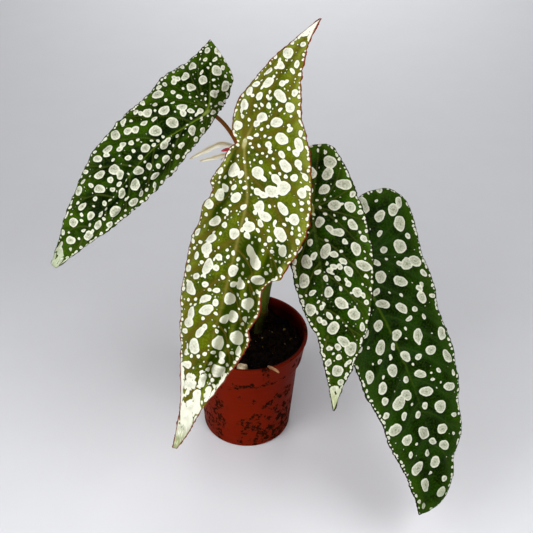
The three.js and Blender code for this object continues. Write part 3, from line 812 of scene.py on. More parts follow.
def blade_grid(blade):
    """Rows and columns of the fine grid, the flat place of each point and its distance from the edge."""
    length = blade.last - blade.first
    rows = 2 * round(length / ROW_STEP / 2)
    width = (blade.rows[:, 3] - blade.rows[:, 1]).max()
    columns = 2 * round(width / COLUMN_STEP / 2)
    step = np.linspace(0, 1, rows + 1)
    along = blade.first + length * (step - 0.05 * np.sin(TURN * step))
    share = np.linspace(-1, 1, columns + 1)
    along, share = (grid.ravel() for grid in np.meshgrid(along, share, indexing="ij"))
    flat_x = blade.flat(along, share)
    left, right = outline_at(blade.rows, along, 1), outline_at(blade.rows, along, 3)
    edge = np.minimum(flat_x - left, right - flat_x)
    edge = np.minimum(edge, np.minimum(along - blade.first, blade.last - along) + 0.3)
    return rows, columns, along, share, flat_x, np.maximum(edge, 0)


def margin_teeth(blade, along, share):
    """The edge's fine uneven waves and its rounded scallops, in mm outwards."""
    seed = blade.sizes["seed"] + 5
    side = np.where(share < 0, 0.0, 400.0)
    here = np.stack([along + side, side], -1)
    beat = along / SCALLOP_LENGTH + 0.5 * lumps(here, 14, seed + 1, 1)
    one, other = blade.sizes["scallops"]
    deep = np.where(share < 0, one, other) * np.minimum(blade.half(along, share)[1] / 10, 1)
    waves = TEETH * lumps(here, TEETH_LENGTH, seed, 3) + deep * (np.abs(np.sin(math.pi * beat)) - 0.6)
    return waves * np.abs(share) ** 12


def coarse_faces(grid):
    """Faces of twice the size over a grid of point numbers, which meet its rim point for point."""
    rows, columns = grid.shape[0] - 1, grid.shape[1] - 1
    faces = []
    for i in range(0, rows, 2):
        for j in range(0, columns, 2):
            face = [grid[i, j], grid[i, j + 2], grid[i + 2, j + 2], grid[i + 2, j]]
            if i == 0:
                face.insert(1, grid[i, j + 1])
            if j + 2 == columns:
                face.insert(face.index(grid[i, j + 2]) + 1, grid[i + 1, j + 2])
            if i + 2 == rows:
                face.insert(face.index(grid[i + 2, j + 2]) + 1, grid[i + 2, j + 1])
            if j == 0:
                face.append(grid[i + 1, j])
            faces.append([int(corner) for corner in face])
    return faces


def make_blade(name, sizes, look):
    """A closed blade: a fine upper face, an under face of twice the step, and their readings."""
    blade = Blade(sizes)
    rows, columns, along, share, flat_x, edge = blade_grid(blade)
    flat = np.stack([flat_x, along], -1)
    spot, heart, spot_middle = Spots(blade).reading(flat)
    vein, _ = blade.vein_reading(flat)
    from_vein = np.maximum(vein, 0)
    furrow = np.exp(-(from_vein / FURROW_WIDTH) ** 2)
    ridge = np.exp(-(from_vein / RIDGE_WIDTH) ** 2)
    pucker = PUCKER * (1 - furrow) + FINE_PUCKER * lumps(flat, 9, sizes["seed"], 2)
    fade = smooth_step(edge, 0, EDGE_CALM)
    middle = blade.surface(along, share).reshape(rows + 1, columns + 1, 3)
    down, right = np.gradient(middle, axis=0), np.gradient(middle, axis=1)
    off = unit(np.cross(down, right)).reshape(-1, 3)
    teeth = np.sign(share) * margin_teeth(blade, along, share)
    middle = middle.reshape(-1, 3) + unit(right).reshape(-1, 3) * teeth[:, None]
    near = np.minimum(edge / EDGE_ROUND, 1)
    half = BLADE / 2 * np.sqrt(near * (2 - near))
    swell = ROOT_SWELL * np.exp(-(np.hypot(flat_x, along) / ROOT_SWELL_WIDTH) ** 2)
    dome = SPOT_HEIGHT * smooth_step(spot, -0.15, 1)
    top_lift = half + fade * (pucker - FURROW * furrow + dome) + swell
    low_lift = -half + fade * (pucker - RIDGE * ridge)

    top = np.arange((rows + 1) * (columns + 1)).reshape(rows + 1, columns + 1)
    rim = np.ones(top.shape, bool)
    rim[1:-1, 1:-1] = False
    coarse = np.zeros(top.shape, bool)
    coarse[2:-2:2, 2:-2:2] = True
    below = top[coarse]
    low = top.copy()
    low[coarse] = top.size + np.arange(len(below))
    top_lift[rim.ravel()] = (fade * pucker)[rim.ravel()]
    points = np.vstack([middle + off * top_lift[:, None], (middle + off * low_lift[:, None])[below]])
    top_faces = quads(top)
    piece = new_piece(f"{name}_blade", points, top_faces + coarse_faces(low), look)

    rib_fade = smooth_step(along, blade.last * 0.75, 6) * smooth_step(along, -9, -1)
    readings = {
        "spot": spot,
        "heart": heart,
        "spot_middle": spot_middle,
        "vein": np.clip(vein, -1, 12),
        "edge": edge,
        "rib": np.exp(-(share * blade.half(along, share)[1] / RIB_WIDTH) ** 2) * rib_fade,
        "pleat": blade.pleat(along, share) / 3,
        "tip": smooth_step(along, blade.last - 17, blade.last - 2),
    }
    for reading, values in readings.items():
        attribute(piece, reading, np.concatenate([values, values[below]]))
    attribute(piece, "underside", np.arange(len(points)) >= top.size)
    flat = np.vstack([flat, flat[below]])
    layer = piece.data.attributes.new("flat", "FLOAT_VECTOR", "POINT")
    layer.data.foreach_set("vector", np.column_stack([flat, np.zeros(len(flat))]).ravel())
    spread_out(piece, flat, len(top_faces))
    return seat(piece, "pale_blade" if name == "leaf_centre" else "dark_blade", name)


def spread_out(piece, flat, top_count):
    """Lays the blade's two faces side by side on its UV map."""
    low, high = flat.min(0), flat.max(0)
    place = (flat - low) / (high - low) * (0.46, 0.96) + (0.02, 0.02)
    corners = np.zeros(len(piece.data.loops), int)
    piece.data.loops.foreach_get("vertex_index", corners)
    uv = place[corners]
    uv[4 * top_count:, 0] += 0.5
    piece.data.uv_layers.new(name="flat_blade").data.foreach_set("uv", uv.ravel())


def leaf_finish(name, card):
    """Leaf skin: ground, veins, spots, edge and underside from the blade's own readings, with painted
    shade in the lengthwise folds and beside the veins.
    """

    def build(board):
        flat = board.reading("flat", "Vector")
        spot, vein, edge, rib, pleat, deep_in = (
            board.reading(each) for each in ("spot", "vein", "edge", "rib", "pleat", "heart")
        )
        drift = board.noise(flat, 0.09, 3.0)
        mottle = board.noise(flat, 1.1, 3.0, 0.6)
        net = board.cells(flat, 0.9)
        ground = board.coats(
            board.blend(drift.ramp(0.42, 0.58), card["deep"], card["mid"]),
            (edge.ramp(9.0, 0.5) * card["edge_light"], card["light"]),
            (mottle.ramp(0.4, 0.65) * 0.22, card["light"]),
            # Beside the veins: the leaf's own tone there, with painted shade in the furrows and a paler
            # painted sheen on the far-right leaf
            (vein.ramp(card["band_width"], 0.2) * card["band_share"], card["vein_band_tone_and_light"]),
            # Painted shade in the lengthwise folds, darkest where they are deepest
            (pleat.ramp(0.05, 0.45), card["fold"]),
            (vein.ramp(0.35, -0.1) * card["vein_share"], card["vein"]),
            (net.ramp(0.12, 0.02) * 0.14, card["deep"]),
            (spot.ramp(-0.6, -0.1) * 0.35, card["deep"]),
            (rib * card["rib_share"], card["rib"]),
        )
        pores = board.noise(flat, 1.3, 3.0, 0.65)
        heart = (deep_in.ramp(0.2, 1.3) * 0.6 + pores.ramp(0.42, 0.58) * 0.55) * deep_in.ramp(0.2, 0.6)
        heart = heart + board.reading("spot_middle").ramp(0.7, 0.95) * 0.7
        # Painted shade in the folds darkens the spots too
        heart = heart * card["heart_share"] + pleat.ramp(0.08, 0.7) * 0.9
        streak = board.noise(flat, (2.2, 0.25, 1), 2.0)
        white = board.coats(
            card["spot"],
            (heart, card["spot_heart"]),
            (board.reading("tip") * streak.ramp(0.3, 0.5) * 0.95, card["tip"]),
        )
        from_root = board.add(
            "ShaderNodeVectorMath", {"operation": "MULTIPLY_ADD"},
            {0: flat, 1: (1, 0.45, 0), 2: (0, -0.5, 0)},
        )
        junction = board.add("ShaderNodeVectorMath", {"operation": "LENGTH"}, {0: from_root}, "Value")
        skin = board.coats(
            board.blend(spot.ramp(-0.1, 0.12), ground, white),
            (junction.ramp(1.3, 0.5) * 0.85, card["junction"]),
            (edge.ramp(card["margin_width"], 0.36), card["margin"]),
        )
        wine = board.coats(
            board.blend(mottle, card["under"], card["under_light"]),
            (spot.ramp(-0.2, 0.4) * 0.35, "c48a80"),
            (vein.ramp(0.25, -0.1) * 0.7, "a9705a"),
        )
        colour = board.blend(board.reading("underside"), skin, wine)
        grain = board.noise(flat, 6.0, 2.0)
        height = net.ramp(0.0, 0.3) * 0.5 + grain * 0.25 + spot.ramp(-0.1, 0.3) * 0.3
        height = height - pores * spot.ramp(0.0, 0.3) * 0.8
        return board.dress(colour, board.between(mottle, 0.36, 0.52), height, 0.09)

    return finish(name, build, Specular_IOR_Level=0.018)


# The band colour is the tone beside the veins with painted shade in the furrows; on the far-right leaf it
# is a paler painted sheen.
# The fold colour of each card is painted shade for the lengthwise folds.
LEAF_CARDS = {
    "left": dict(
        deep="061500", mid="264200", light="547018", edge_light=0.4, vein_band_tone_and_light="0a1a00", band_width=2.4,
        band_share=0.45, fold="030d00", vein="46521a", vein_share=0.5, rib="62781f", rib_share=0.9,
        spot="dcddc8", spot_heart="83886f", heart_share=0.7, tip="a2ad8c", junction="7d8a40",
        margin="1a100a", margin_width=0.6, under="6e2c2a", under_light="7d3a30",
    ),
    "centre": dict(
        deep="2f4004", mid="4f5c02", light="8c9232", edge_light=0.6, vein_band_tone_and_light="51480f", band_width=2.2,
        band_share=0.6, fold="263500", vein="604e1a", vein_share=0.6, rib="85803e", rib_share=0.8,
        spot="e6e6d4", spot_heart="a4a58e", heart_share=0.5, tip="939c68", junction="a9a46c",
        margin="6e2a18", margin_width=0.85, under="8a4a38", under_light="9a5a44",
    ),
}
LEAF_CARDS["right"] = dict(
    LEAF_CARDS["left"], deep="031000", mid="193600", light="4c6c12", vein_band_tone_and_light="161c00", spot="d4d5c1",
    tip="a3ac78", rib="2f4410", rib_share=0.6,
)
LEAF_CARDS["far_right"] = dict(
    LEAF_CARDS["left"], deep="061300", mid="132c00", light="3d5c10", vein_band_tone_and_light="223a12", band_share=0.4,
    spot="d2d4c0", vein="2c4010", rib="43580e",
)


# Cane and petioles

def cane_radius(share, height):
    """The taper of the cane with a swelling and a fine raised scar at each joint."""
    plain = CANE_RADIUS_LOW + (CANE_RADIUS_HIGH - CANE_RADIUS_LOW) * share
    above = height[:, None] - JOINT_HEIGHTS
    swelling = np.exp(-(above / SWELLING_WIDTH) ** 2).max(1)
    scar = np.exp(-((above - 1.3) / 0.28) ** 2).max(1)
    return plain + CANE_SWELLING * swelling * 0.92 + 0.16 * scar


def make_cane(look):
    path, ways = even_points(curve_through(CANE_PATH), CANE_POINTS)
    share = np.linspace(0, 1, len(path))
    radius = cane_radius(share, path[:, 2])
    radius = radius * round_ends(share, length_of(path), 1.2)
    radius[[0, -1]] = 0.25
    rings = shoot_points(path, ways, radius, radius, (1, 0, 0), CANE_SIDES)
    uneven = 1 + 0.025 * lumps(rings.reshape(-1, 3) * (1, 1, 0.35), 5, 81, 2)
    piece = closed_shoot("cane_stem", reshaped(path, rings, uneven), look)
    attribute(piece, "joint", np.abs(corners_of(piece)[:, 2:] - JOINT_HEIGHTS).min(1))
    return seat(piece, "cane_skin", "cane")


def stem_finish(name, card):
    """Smooth stem skin with fine lengthwise streaks and pale pores, browner at the joints, and darker at
    the foot: brown there with painted shade near the soil.
    """

    def build(board):
        place = board.place()
        streak = board.noise(place, (900, 900, 90), 3.0)
        blush = board.noise(place, 60.0, 2.0)
        pores = board.cells(place, (700, 700, 260), "F1")
        # Darker towards the foot: brown remains with painted shade near the soil
        foot_brown_and_shade = board.part(place, "Z").ramp(0.084, 0.056)
        skin = board.coats(
            board.blend(streak, card["deep"], card["light"]),
            (blush.ramp(0.45, 0.7) * 0.5, card["blush"]),
            (board.reading("joint").ramp(3.4, 0.4) * 0.65, card["joint"]),
            (foot_brown_and_shade * (0.5 + streak * 0.7), "170f06"),
            (pores.ramp(0.16, 0.08) * 0.55, card["pore"]),
        )
        height = streak * 0.5 + pores.ramp(0.2, 0.05)
        return board.dress(skin, board.between(streak, 0.34, 0.5), height, 0.12)

    return finish(name, build, Specular_IOR_Level=0.08)


def petiole_path(blade, joint_height):
    """The curve from the joint of the cane to the underside of the blade's root."""
    cane, _ = even_points(curve_through(CANE_PATH), 900)
    share = np.searchsorted(cane[:, 2], joint_height) / (len(cane) - 1)
    joint = cane[int(share * (len(cane) - 1))]
    root, off, miter = blade.seat()
    rise, arrive = unit(blade.sizes["rise"]), unit(blade.sizes["arrive"])
    away = unit((root - joint) * (1, 1, 0))
    radius = CANE_RADIUS_LOW + (CANE_RADIUS_HIGH - CANE_RADIUS_LOW) * share + CANE_SWELLING
    start = joint + away * (radius + PETIOLE_RADIUS * rise[2])
    end = root - off * (BLADE / 2 + PETIOLE_TIP_RADIUS * 0.8) * miter
    first, second = blade.sizes["reach"]
    t = np.linspace(0, 1, 200)[:, None]
    a, b = start + rise * first, end - arrive * second
    curve = start * (1 - t) ** 3 + 3 * a * t * (1 - t) ** 2 + 3 * b * t * t * (1 - t) + end * t ** 3
    inward = start - away * (radius * 0.6) - rise * 0.8
    outward = end + off * 0.5 + arrive * 0.4
    return np.vstack([inward, curve, outward]), away


def make_petiole(name, sizes, look):
    path, away = petiole_path(Blade(sizes), JOINTS[name])
    path, ways = even_points(path, PETIOLE_POINTS)
    length = length_of(path)
    gone = np.linspace(0, length, len(path))
    share = gone / length
    radius = PETIOLE_RADIUS + (PETIOLE_TIP_RADIUS - PETIOLE_RADIUS) * share
    radius = radius * 0.96 + 0.2 * np.exp(-(gone / 2.2) ** 2)
    radius = radius * round_ends(share, length, 1.0)
    radius[[0, -1]] = 0.15
    broad = np.cross(away, (0, 0, 1))
    rings = shoot_points(path, ways, radius, radius * 0.94, broad, PETIOLE_SIDES)
    piece = closed_shoot(f"petiole_{name}_stalk", rings, look)
    from_end = np.minimum(gone, length - gone)
    attribute(piece, "joint", np.append(np.repeat(from_end, PETIOLE_SIDES), [0, 0]))
    return seat(piece, "petiole_skin", f"petiole_{name}")


# Growing tip

def make_tip_shoot(name, sizes, look, slot):
    """A sheath folded along its length like a boat, or the folded new leaf."""
    path, ways = even_points(curve_through(sizes["path"]), SHOOT_POINTS)
    share = np.linspace(0, 1, len(path))
    width = sizes["width"] * (0.3 + 0.7 * np.sin(math.pi * np.minimum(1, share ** 0.75)) ** 0.8)
    width = width * np.sqrt(np.clip(share / 0.03, 0, 1)) * np.clip((1 - share) / 0.06, 0.06, 1) ** 0.6
    rings = shoot_points(path, ways, width, width * sizes["flatness"], (0, -1, 0), SHOOT_SIDES)
    turn = np.linspace(0, TURN, SHOOT_SIDES, endpoint=False)
    pleat = 1 - 0.3 * np.exp(-((turn - 1.5 * math.pi) / 0.5) ** 2) - 0.07 * np.cos(turn * 9)
    wave = 1 + 0.05 * np.sin(share * 26)
    rings = reshaped(path, rings, pleat[None, :] * wave[:, None])
    piece = closed_shoot(f"{name}_sheath" if slot == "sheath" else "new_leaf_folded", rings, look)
    attribute(piece, "tip", np.append(np.repeat(share, SHOOT_SIDES), [0, 1]))
    attribute(piece, "round", np.append(np.tile(turn, len(share)), [0, 0]))
    return seat(piece, slot, name)


def sheath_finish(name, pale, mid, end):
    """Papery skin, deeper in colour along its middle than at its thin edges."""

    def build(board):
        tip = board.reading("tip")
        turn = board.reading("round")
        combined = board.add("ShaderNodeCombineXYZ", None, {0: tip * 0.7, 1: turn * 0.6, 2: 0.0})
        streak = board.noise(combined, 3.0, 2.0)
        aside = board.add("ShaderNodeMath", {"operation": "COSINE"}, {0: turn})
        keel = (1 - aside * aside).ramp(0.3, 1.0)
        skin = board.coats(
            pale, (streak.ramp(0.4, 0.64) * 0.5 + keel * 0.5, mid), (tip.ramp(0.82, 1.0) * 0.7, end),
        )
        return board.dress(skin, board.between(streak, 0.4, 0.6), streak, 0.04)

    return finish(name, build)


# Pot

def fillet(before, corner, after, radius):
    """Points that round one corner of a profile."""
    before, corner, after = (np.array(p, float) for p in (before, corner, after))
    start = corner + unit(before - corner) * radius
    end = corner + unit(after - corner) * radius
    t = np.linspace(0, 1, CORNER_STEPS)[:, None]
    return (start * (1 - t) ** 2 + 2 * corner * t * (1 - t) + end * t * t).tolist()


def pot_profile():
    """Half of the pot's section as [radius, height], from the underside's middle round to the floor."""
    inside = [
        [BASE_RADIUS - WALL, FLOOR],
        [NECK_RADIUS - WALL, COLLAR_FOOT - 0.2],
        [COLLAR_FOOT_RADIUS - WALL, COLLAR_FOOT + WALL],
        [RIM_RADIUS - LIP - WALL, POT_HEIGHT],
    ]
    corners = [
        ([0, 0], 0),
        ([BASE_RADIUS - 0.2, 0], 1.1),
        ([BASE_RADIUS + 0.1, 1.3], 0.4),
        ([NECK_RADIUS, COLLAR_FOOT], 0.25),
        ([COLLAR_FOOT_RADIUS, COLLAR_FOOT], 0.35),
        ([RIM_RADIUS - LIP, POT_HEIGHT - LIP_HEIGHT], 0.2),
        ([RIM_RADIUS, POT_HEIGHT - LIP_HEIGHT * 0.8], 0.22),
        ([RIM_RADIUS, POT_HEIGHT], 0.4),
        (inside[3], 0.35),
        (inside[2], 0.3),
        (inside[1], 0.25),
        (inside[0], 1),
        ([0, FLOOR], 0),
    ]
    profile = []
    for k, (corner, radius) in enumerate(corners):
        if radius:
            profile += fillet(corners[k - 1][0], corner, corners[k + 1][0], radius)
        else:
            profile.append(corner)
    return np.array(profile)


def turned(profile, sides):
    """Points and faces of a closed turned body whose profile starts and ends on the axis."""
    turn = np.linspace(0, TURN, sides, endpoint=False)
    radius, height = profile[1:-1, :1], profile[1:-1, 1:]
    rings = np.stack([radius * np.cos(turn), radius * np.sin(turn), np.repeat(height, sides, 1)], -1)
    return closed_rings(rings, [0, 0, profile[0, 1]], [0, 0, profile[-1, 1]])


def cut(piece, tool):
    """Takes the tool's space out of a piece."""
    modifier = piece.modifiers.new("holes", "BOOLEAN")
    modifier.operation = "DIFFERENCE"
    modifier.solver = "EXACT"
    modifier.object = tool
    mesh = as_built(piece)
    piece.modifiers.clear()
    piece.data = mesh
    bpy.data.objects.remove(tool)


def make_pot(look):
    piece = face_outwards(new_piece("nursery_pot", *turned(pot_profile(), POT_SIDES), look))
    holes = bmesh.new()
    for k in range(DRAIN_HOLES):
        turn = (k + 0.5) * TURN / DRAIN_HOLES
        middle = Vector((DRAIN_RING * math.cos(turn), DRAIN_RING * math.sin(turn), FLOOR / 2))
        bmesh.ops.create_cone(
            holes, cap_ends=True, segments=HOLE_SIDES, depth=(FLOOR + 2) * MM,
            radius1=DRAIN_RADIUS * MM, radius2=DRAIN_RADIUS * MM, matrix=Matrix.Translation(middle * MM),
        )
    tool = new_piece("hole_cutter", [[0, 0, 0]], [], look)
    holes.to_mesh(tool.data)
    holes.free()
    cut(piece, tool)
    piece.data.set_sharp_from_angle(angle=math.radians(35))
    x, y, height = corners_of(piece).T
    # A line within the wall, from foot to rim, which tells the pot's inside from its outside; the finish
    # paints shade on the inside
    heights = [0, COLLAR_FOOT, COLLAR_FOOT + 1, POT_HEIGHT]
    wall = np.interp(height, heights, [22, 25.4, 27.2, RIM_RADIUS - LIP])
    attribute(piece, "inside", np.clip((wall + 0.1 - np.hypot(x, y)) / 0.8, 0, 1))
    return seat(piece, "terracotta_plastic", "pot")


def plastic_finish():
    """Moulded terracotta plastic, slightly chalky, with painted shade on its inner wall that deepens below
    the rim, and dried splashes of peat.
    """

    def build(board):
        place = board.place()
        cloud = board.noise(place, 70.0, 3.0)
        rings = board.noise(place, (20, 20, 900), 2.0)
        area = board.noise(place, 90.0, 3.0)
        speck = board.noise(place, 420.0, 3.0, 0.6)
        across, high = board.part(place, "X"), board.part(place, "Z")
        usual = across.ramp(-0.006, 0.016) * 0.07 + high.ramp(0.05, 0.004) * 0.12
        trail = across.ramp(0.0065, 0.0085) * across.ramp(0.0135, 0.0105) * high.ramp(0.045, 0.049) * 0.26
        clot = board.noise(place, 380.0, 4.0, 0.7)
        splash = (area + usual + trail).ramp(0.52, 0.68)
        dirt = (clot + splash * 0.17).ramp(0.6, 0.74) * splash.ramp(0.05, 0.4)
        film = board.noise(place, (160, 160, 60), 4.0)
        inside = board.reading("inside")
        skin = board.coats(
            board.blend(cloud, "6c1604", "7c1d05"),
            (rings.ramp(0.45, 0.75) * 0.12, "85280d"),
            (dirt.ramp(0.0, 0.6) * 0.6, "3f1c09"),
            (dirt.ramp(0.4, 1.0) * 0.85, "1a0d05"),
            (film.ramp(0.55, 0.8) * 0.25, "551a0c"),
            # Painted shade on the inner wall, deeper below the rim
            (inside * 0.75, "300703"),
            (inside * high.ramp(0.0598, 0.0555) * (0.8 + speck * 0.3), "150301"),
        )
        rough = board.blend(dirt, board.between(cloud, 0.33, 0.45), grey(0.9))
        return board.dress(skin, rough, dirt * 0.7 + rings * 0.15 + speck * 0.05, 0.25)

    return finish("terracotta_plastic_finish", build, Specular_IOR_Level=0.01)


# Soil

def soil_height(x, y):
    """The frame's uneven top of the soil."""
    waves = np.sin(0.62 * x + 0.35 * y) + np.sin(0.71 * y - 0.28 * x + 1.3) + np.sin(0.4 * (x + y) + 2.1)
    return SOIL_TOP + SOIL_RELIEF * waves / 2


def soil_top_radius():
    """How far the soil reaches at its top, a little short of the pot's wall."""
    share = (SOIL_TOP - COLLAR_FOOT - WALL) / (COLLAR_HEIGHT - WALL)
    return COLLAR_FOOT_RADIUS - WALL + (RIM_RADIUS - LIP - COLLAR_FOOT_RADIUS) * share - SOIL_GAP


def make_soil(look):
    top = soil_top_radius()
    side = [
        [BASE_RADIUS - WALL - SOIL_GAP, FLOOR + SOIL_GAP],
        [NECK_RADIUS - WALL - SOIL_GAP, COLLAR_FOOT],
        [COLLAR_FOOT_RADIUS - WALL - SOIL_GAP, COLLAR_FOOT + WALL + SOIL_GAP],
    ]
    rings = [[top * (1 - k / SOIL_RINGS), SOIL_TOP] for k in range(SOIL_RINGS)]
    profile = np.array([[0, FLOOR + SOIL_GAP], *side, *rings, [0, SOIL_TOP]])
    points, faces = turned(profile, SOIL_SIDES)
    upper = points[:, 2] > SOIL_TOP - 0.01
    place = points[upper, :2]
    fine = 0.55 * lumps(place, 7, 91, 2) + 0.3 * np.abs(lumps(place, 2.6, 92, 2))
    points[upper, 2] = soil_height(*place.T) + fine - 0.1
    return seat(face_outwards(new_piece("potting_soil", points, faces, look)), "peat", "soil")


def soil_finish():
    """Moist, nearly black peat with a few browner flecks."""

    def build(board):
        place = board.place()
        clod = board.noise(place, 350.0, 4.0, 0.65)
        fleck = board.cells(place, 700.0, "F1")
        skin = board.coats(
            "070402", (clod.ramp(0.35, 0.7), "140c07"), (fleck.ramp(0.22, 0.1) * 0.5, "2c1e12"),
        )
        return board.dress(skin, board.between(clod, 0.75, 1), clod, 0.8)

    return finish("peat_finish", build, Specular_IOR_Level=0.03)


def toned_finish(name, dark, light, rough, depth_mm):
    """A finish for small repeats, each with its own tone."""

    def build(board):
        grain = board.noise(board.place(), 900.0, 3.0)
        skin = board.coats(dark, (board.reading("tone"), light), (grain.ramp(0.4, 0.7) * 0.4, dark))
        return board.dress(skin, board.between(grain, rough, 1), grain, depth_mm)

    return finish(name, build, Specular_IOR_Level=0.03)


class Repeats(Board):
    """A Geometry Nodes tree with named inputs, and its result as a plain mesh."""

    def __init__(self, name, *sizes):
        super().__init__(bpy.data.node_groups.new(name, "GeometryNodeTree"))
        face = self.tree.interface
        inputs = {"Geometry": "Geometry", "Per Area": "Float"}
        inputs.update({label: "Float" for label in sizes}, Seed="Int", Look="Material")
        for label, kind in inputs.items():
            face.new_socket(label, in_out="INPUT", socket_type=f"NodeSocket{kind}")
        face.new_socket("Geometry", in_out="OUTPUT", socket_type="NodeSocketGeometry")
        self.entry = self.tree.nodes.new("NodeGroupInput")
        self.exit = self.tree.nodes.new("NodeGroupOutput")

    def given(self, label):
        return Wire(self, self.entry.outputs[label])

    def drawn(self, low, high, seed):
        """A number drawn for each point."""
        limits = {2: low, 3: high, "Seed": seed}
        return self.add("FunctionNodeRandomValue", {"data_type": "FLOAT"}, limits, out=1)

    def drawn_vector(self, low, high, seed):
        limits = {0: (low,) * 3, 1: (high,) * 3, "Seed": seed}
        return self.add("FunctionNodeRandomValue", {"data_type": "FLOAT_VECTOR"}, limits)

    def scattered(self, item, turn, scale):
        """The item at points thrown over the ground, each with a tone of its own for its finish."""
        ground, often, seed = (self.given(label) for label in ("Geometry", "Per Area", "Seed"))
        points = self.add(
            "GeometryNodeDistributePointsOnFaces", {"distribute_method": "RANDOM"},
            {"Mesh": ground, "Density": often, "Seed": seed},
        )
        copies = self.add(
            "GeometryNodeInstanceOnPoints", None,
            {"Points": points, "Instance": item, "Rotation": turn, "Scale": scale},
        )
        return self.add(
            "GeometryNodeStoreNamedAttribute", {"data_type": "FLOAT", "domain": "INSTANCE"},
            {"Geometry": copies, "Name": "tone", "Value": self.drawn(0.0, 1.0, 6)},
        )

    def close(self, geometry):
        """Gives the tree's result its finish."""
        whole = self.add("GeometryNodeRealizeInstances", None, {0: geometry})
        dress = {"Geometry": whole, "Material": self.given("Look")}
        dressed = self.add("GeometryNodeSetMaterial", None, dress)
        self.tree.links.new(dressed.socket, self.exit.inputs[0])

    def grow(self, name, ground, values):
        """Runs the tree on a ground object, which is used up, and returns the result."""
        modifier = ground.modifiers.new(name, "NODES")
        modifier.node_group = self.tree
        for item in self.tree.interface.items_tree:
            if item.in_out == "INPUT" and item.name in values:
                modifier[item.identifier] = values[item.name]
        grown = put(name, as_built(ground))
        bpy.data.objects.remove(ground)
        return grown


def crumb_tree():
    """Uneven crumbs scattered over a ground, each with its own size, turn and tone."""
    tree = Repeats("crumbs", "Smallest", "Largest")
    crumb = tree.add("GeometryNodeMeshIcoSphere", None, {"Radius": 1.0, "Subdivisions": 1})
    often_small = tree.drawn(0.0, 1.0, 4)
    span = tree.given("Largest") - tree.given("Smallest")
    scale = tree.given("Smallest") + span * often_small * often_small
    shape = tree.add(
        "ShaderNodeVectorMath", {"operation": "SCALE"},
        {0: tree.drawn_vector(0.55, 1.1, 5), "Scale": scale},
    )
    tree.close(tree.scattered(crumb, tree.drawn_vector(0.0, TURN, 3), shape))
    return tree


def strand_tree():
    """Short bent strands lying on a ground: a curved line with a fine section at each point."""
    tree = Repeats("strands", "Longest", "Thickness")
    bow = tree.add(
        "GeometryNodeCurveQuadraticBezier", None,
        {"Resolution": 6, "Start": (-0.5, 0, 0), "Middle": (0.0, 0.25, 0.3), "End": (0.5, 0.05, 0)},
    )
    lean = tree.add("ShaderNodeCombineXYZ", None, {
        0: tree.drawn(-0.25, 0.25, 11), 1: tree.drawn(-0.25, 0.25, 12), 2: tree.drawn(0.0, TURN, 13),
    })
    length = tree.given("Longest") * tree.drawn(0.3, 1.0, 14)
    lines = tree.add("GeometryNodeRealizeInstances", None, {0: tree.scattered(bow, lean, length)})
    section = tree.add(
        "GeometryNodeCurvePrimitiveCircle", None, {"Resolution": 4, "Radius": tree.given("Thickness")},
    )
    tubes = tree.add(
        "GeometryNodeCurveToMesh", None, {"Curve": lines, "Profile Curve": section, "Fill Caps": True},
    )
    tree.close(tubes)
    return tree


def ground_of(piece, name, keep):
    """A copy of a piece's mesh with only the faces that keep says, given their middles in mm."""
    ground = put(name, piece.data.copy())
    shell = bmesh.new()
    shell.from_mesh(ground.data)
    drop = [face for face in shell.faces if not keep(face.calc_center_median() / MM)]
    bmesh.ops.delete(shell, geom=drop, context="FACES")
    shell.to_mesh(ground.data)
    shell.free()
    return ground


def make_litter(soil):
    """Loose peat crumbs, grit and fibres on the soil."""
    top = soil_top_radius() - 0.6

    def on_top(middle):
        return middle.z > SOIL_TOP - 3 and math.hypot(middle.x, middle.y) < top

    peat = toned_finish("peat_crumbs_finish", "050302", "150d07", 0.8, 0.4)
    grit = toned_finish("grit_finish", "33270f", "7a6636", 0.8, 0.2)
    fibre = toned_finish("fibre_finish", "140b05", "38230f", 0.75, 0.1)
    crumbs = crumb_tree()
    peat = {"Per Area": 520000.0, "Smallest": 0.35 * MM, "Largest": 1.9 * MM, "Seed": 5, "Look": peat}
    grit = {"Per Area": 24000.0, "Smallest": 0.3 * MM, "Largest": 1.7 * MM, "Seed": 6, "Look": grit}
    fibre = {"Per Area": 30000.0, "Longest": 9 * MM, "Thickness": 0.13 * MM, "Seed": 8, "Look": fibre}
    for name, tree, values in (
        ("peat_crumbs", crumbs, peat), ("soil_grit", crumbs, grit), ("peat_fibres", strand_tree(), fibre),
    ):
        seat(tree.grow(name, ground_of(soil, f"{name}_ground", on_top), values), "peat")


# Loose bits

def make_perlite(look):
    shell = bmesh.new()
    bmesh.ops.create_icosphere(shell, subdivisions=5, radius=1)
    place = np.array([corner.co for corner in shell.verts])
    x, y, z = place.T
    lump = 1 + 0.09 * np.sin(4 * x + 1) * np.cos(3.5 * z) + 0.06 * np.sin(5 * y + 3 * z)
    pits = lumps(place, 0.45, 95, 3)
    lump = lump + 0.02 * pits - 0.05 * smooth_step(pits, 0.7, 1.4) - 0.015
    points = place * lump[:, None] * PERLITE_SIZE + PERLITE_PLACE
    faces = [[corner.index for corner in face.verts] for face in shell.faces]
    shell.free()
    return seat(face_outwards(new_piece("perlite_grain", points, faces, look)), "perlite", "perlite")


def perlite_finish():
    """Chalky, pitted grain."""

    def build(board):
        place = board.place()
        cloud = board.noise(place, 350.0, 4.0, 0.6)
        pits = board.cells(place, 1300.0, "F1")
        skin = board.coats(
            "a08c68", (cloud.ramp(0.35, 0.7), "e0cfac"), (pits.ramp(0.3, 0.12) * 0.4, "6b5c4a"),
        )
        return board.dress(skin, board.between(cloud, 0.75, 0.95), pits, 0.25)

    return finish("perlite_finish", build)


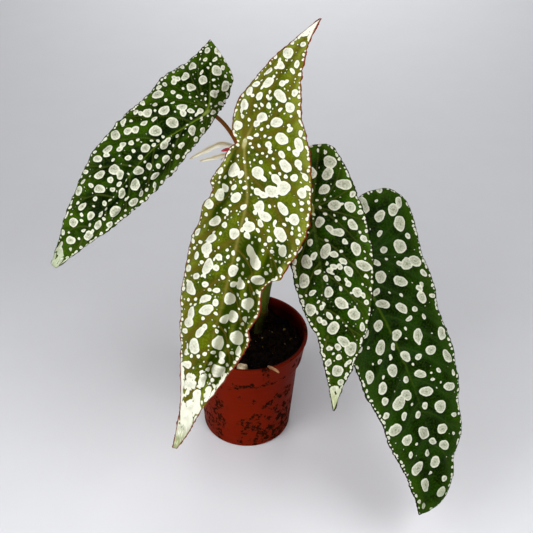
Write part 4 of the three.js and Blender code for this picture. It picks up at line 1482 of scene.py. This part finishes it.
def make_bark_chip(look):
    path, ways = even_points(curve_through(CHIP_PATH), CHIP_POINTS)
    share = np.linspace(0, 1, len(path))
    width = CHIP_WIDTH * (0.55 + 0.45 * np.sin(math.pi * share)) * (1.05 - 0.5 * share)
    width = width * (1 + 0.12 * lumps(share[:, None] * 8, 3, 96, 2))
    ends = np.sqrt(np.clip(np.minimum(share, 1 - share) / 0.05, 0.02, 1))
    rings = shoot_points(path, ways, width * ends, width * CHIP_FLATNESS * ends, (1, 0.7, 0), CHIP_SIDES)
    rings = reshaped(path, rings, 1 + 0.09 * lumps(rings.reshape(-1, 3) * (1, 1, 2), 1.6, 97, 2))
    return seat(closed_shoot("curled_bark_chip", rings, look), "bark", "bark_chip")


def bark_finish():
    """Fibrous brown bark, paler towards the end that hangs over the rim."""

    def build(board):
        place = board.place()
        fibre = board.noise(place, (350, 1500, 1500), 4.0, 0.6)
        pale = fibre.ramp(0.3, 0.7) * 0.5 + board.part(place, "X").ramp(0.0105, 0.0145) * 0.6
        skin = board.blend(pale, "5a3218", "dca472")
        return board.dress(skin, board.between(fibre, 0.7, 0.95), fibre, 0.3)

    return finish("bark_finish", build)


# The whole plant

STEM_CARDS = {
    "cane": dict(deep="3c4c0e", light="5e6e20", blush="604e18", joint="52360f", pore="8f9250"),
    "petiole": dict(deep="5c3206", light="7c4c10", blush="6a3c0a", joint="80601c", pore="a5824a"),
}

make_camera()
make_studio()
make_floor()
for leaf, sizes in LEAVES.items():
    make_blade(f"leaf_{leaf}", sizes, leaf_finish(f"leaf_{leaf}_finish", LEAF_CARDS[leaf]))
make_cane(stem_finish("cane_finish", STEM_CARDS["cane"]))
petiole_look = stem_finish("petiole_finish", STEM_CARDS["petiole"])
for leaf, sizes in LEAVES.items():
    make_petiole(leaf, sizes, petiole_look)
sheath_look = sheath_finish("sheath_finish", "eae8d6", "b09a6a", "9a8254")
bud_look = sheath_finish("bud_finish", "b01a1e", "84101a", "c04a50")
for name, sizes in TIP_SHOOTS.items():
    bud = name == "leaf_bud"
    make_tip_shoot(name, sizes, bud_look if bud else sheath_look, "bud_skin" if bud else "sheath")
make_pot(plastic_finish())
make_litter(make_soil(soil_finish()))
make_perlite(perlite_finish())
make_bark_chip(bark_finish())

bpy.context.view_layer.update()
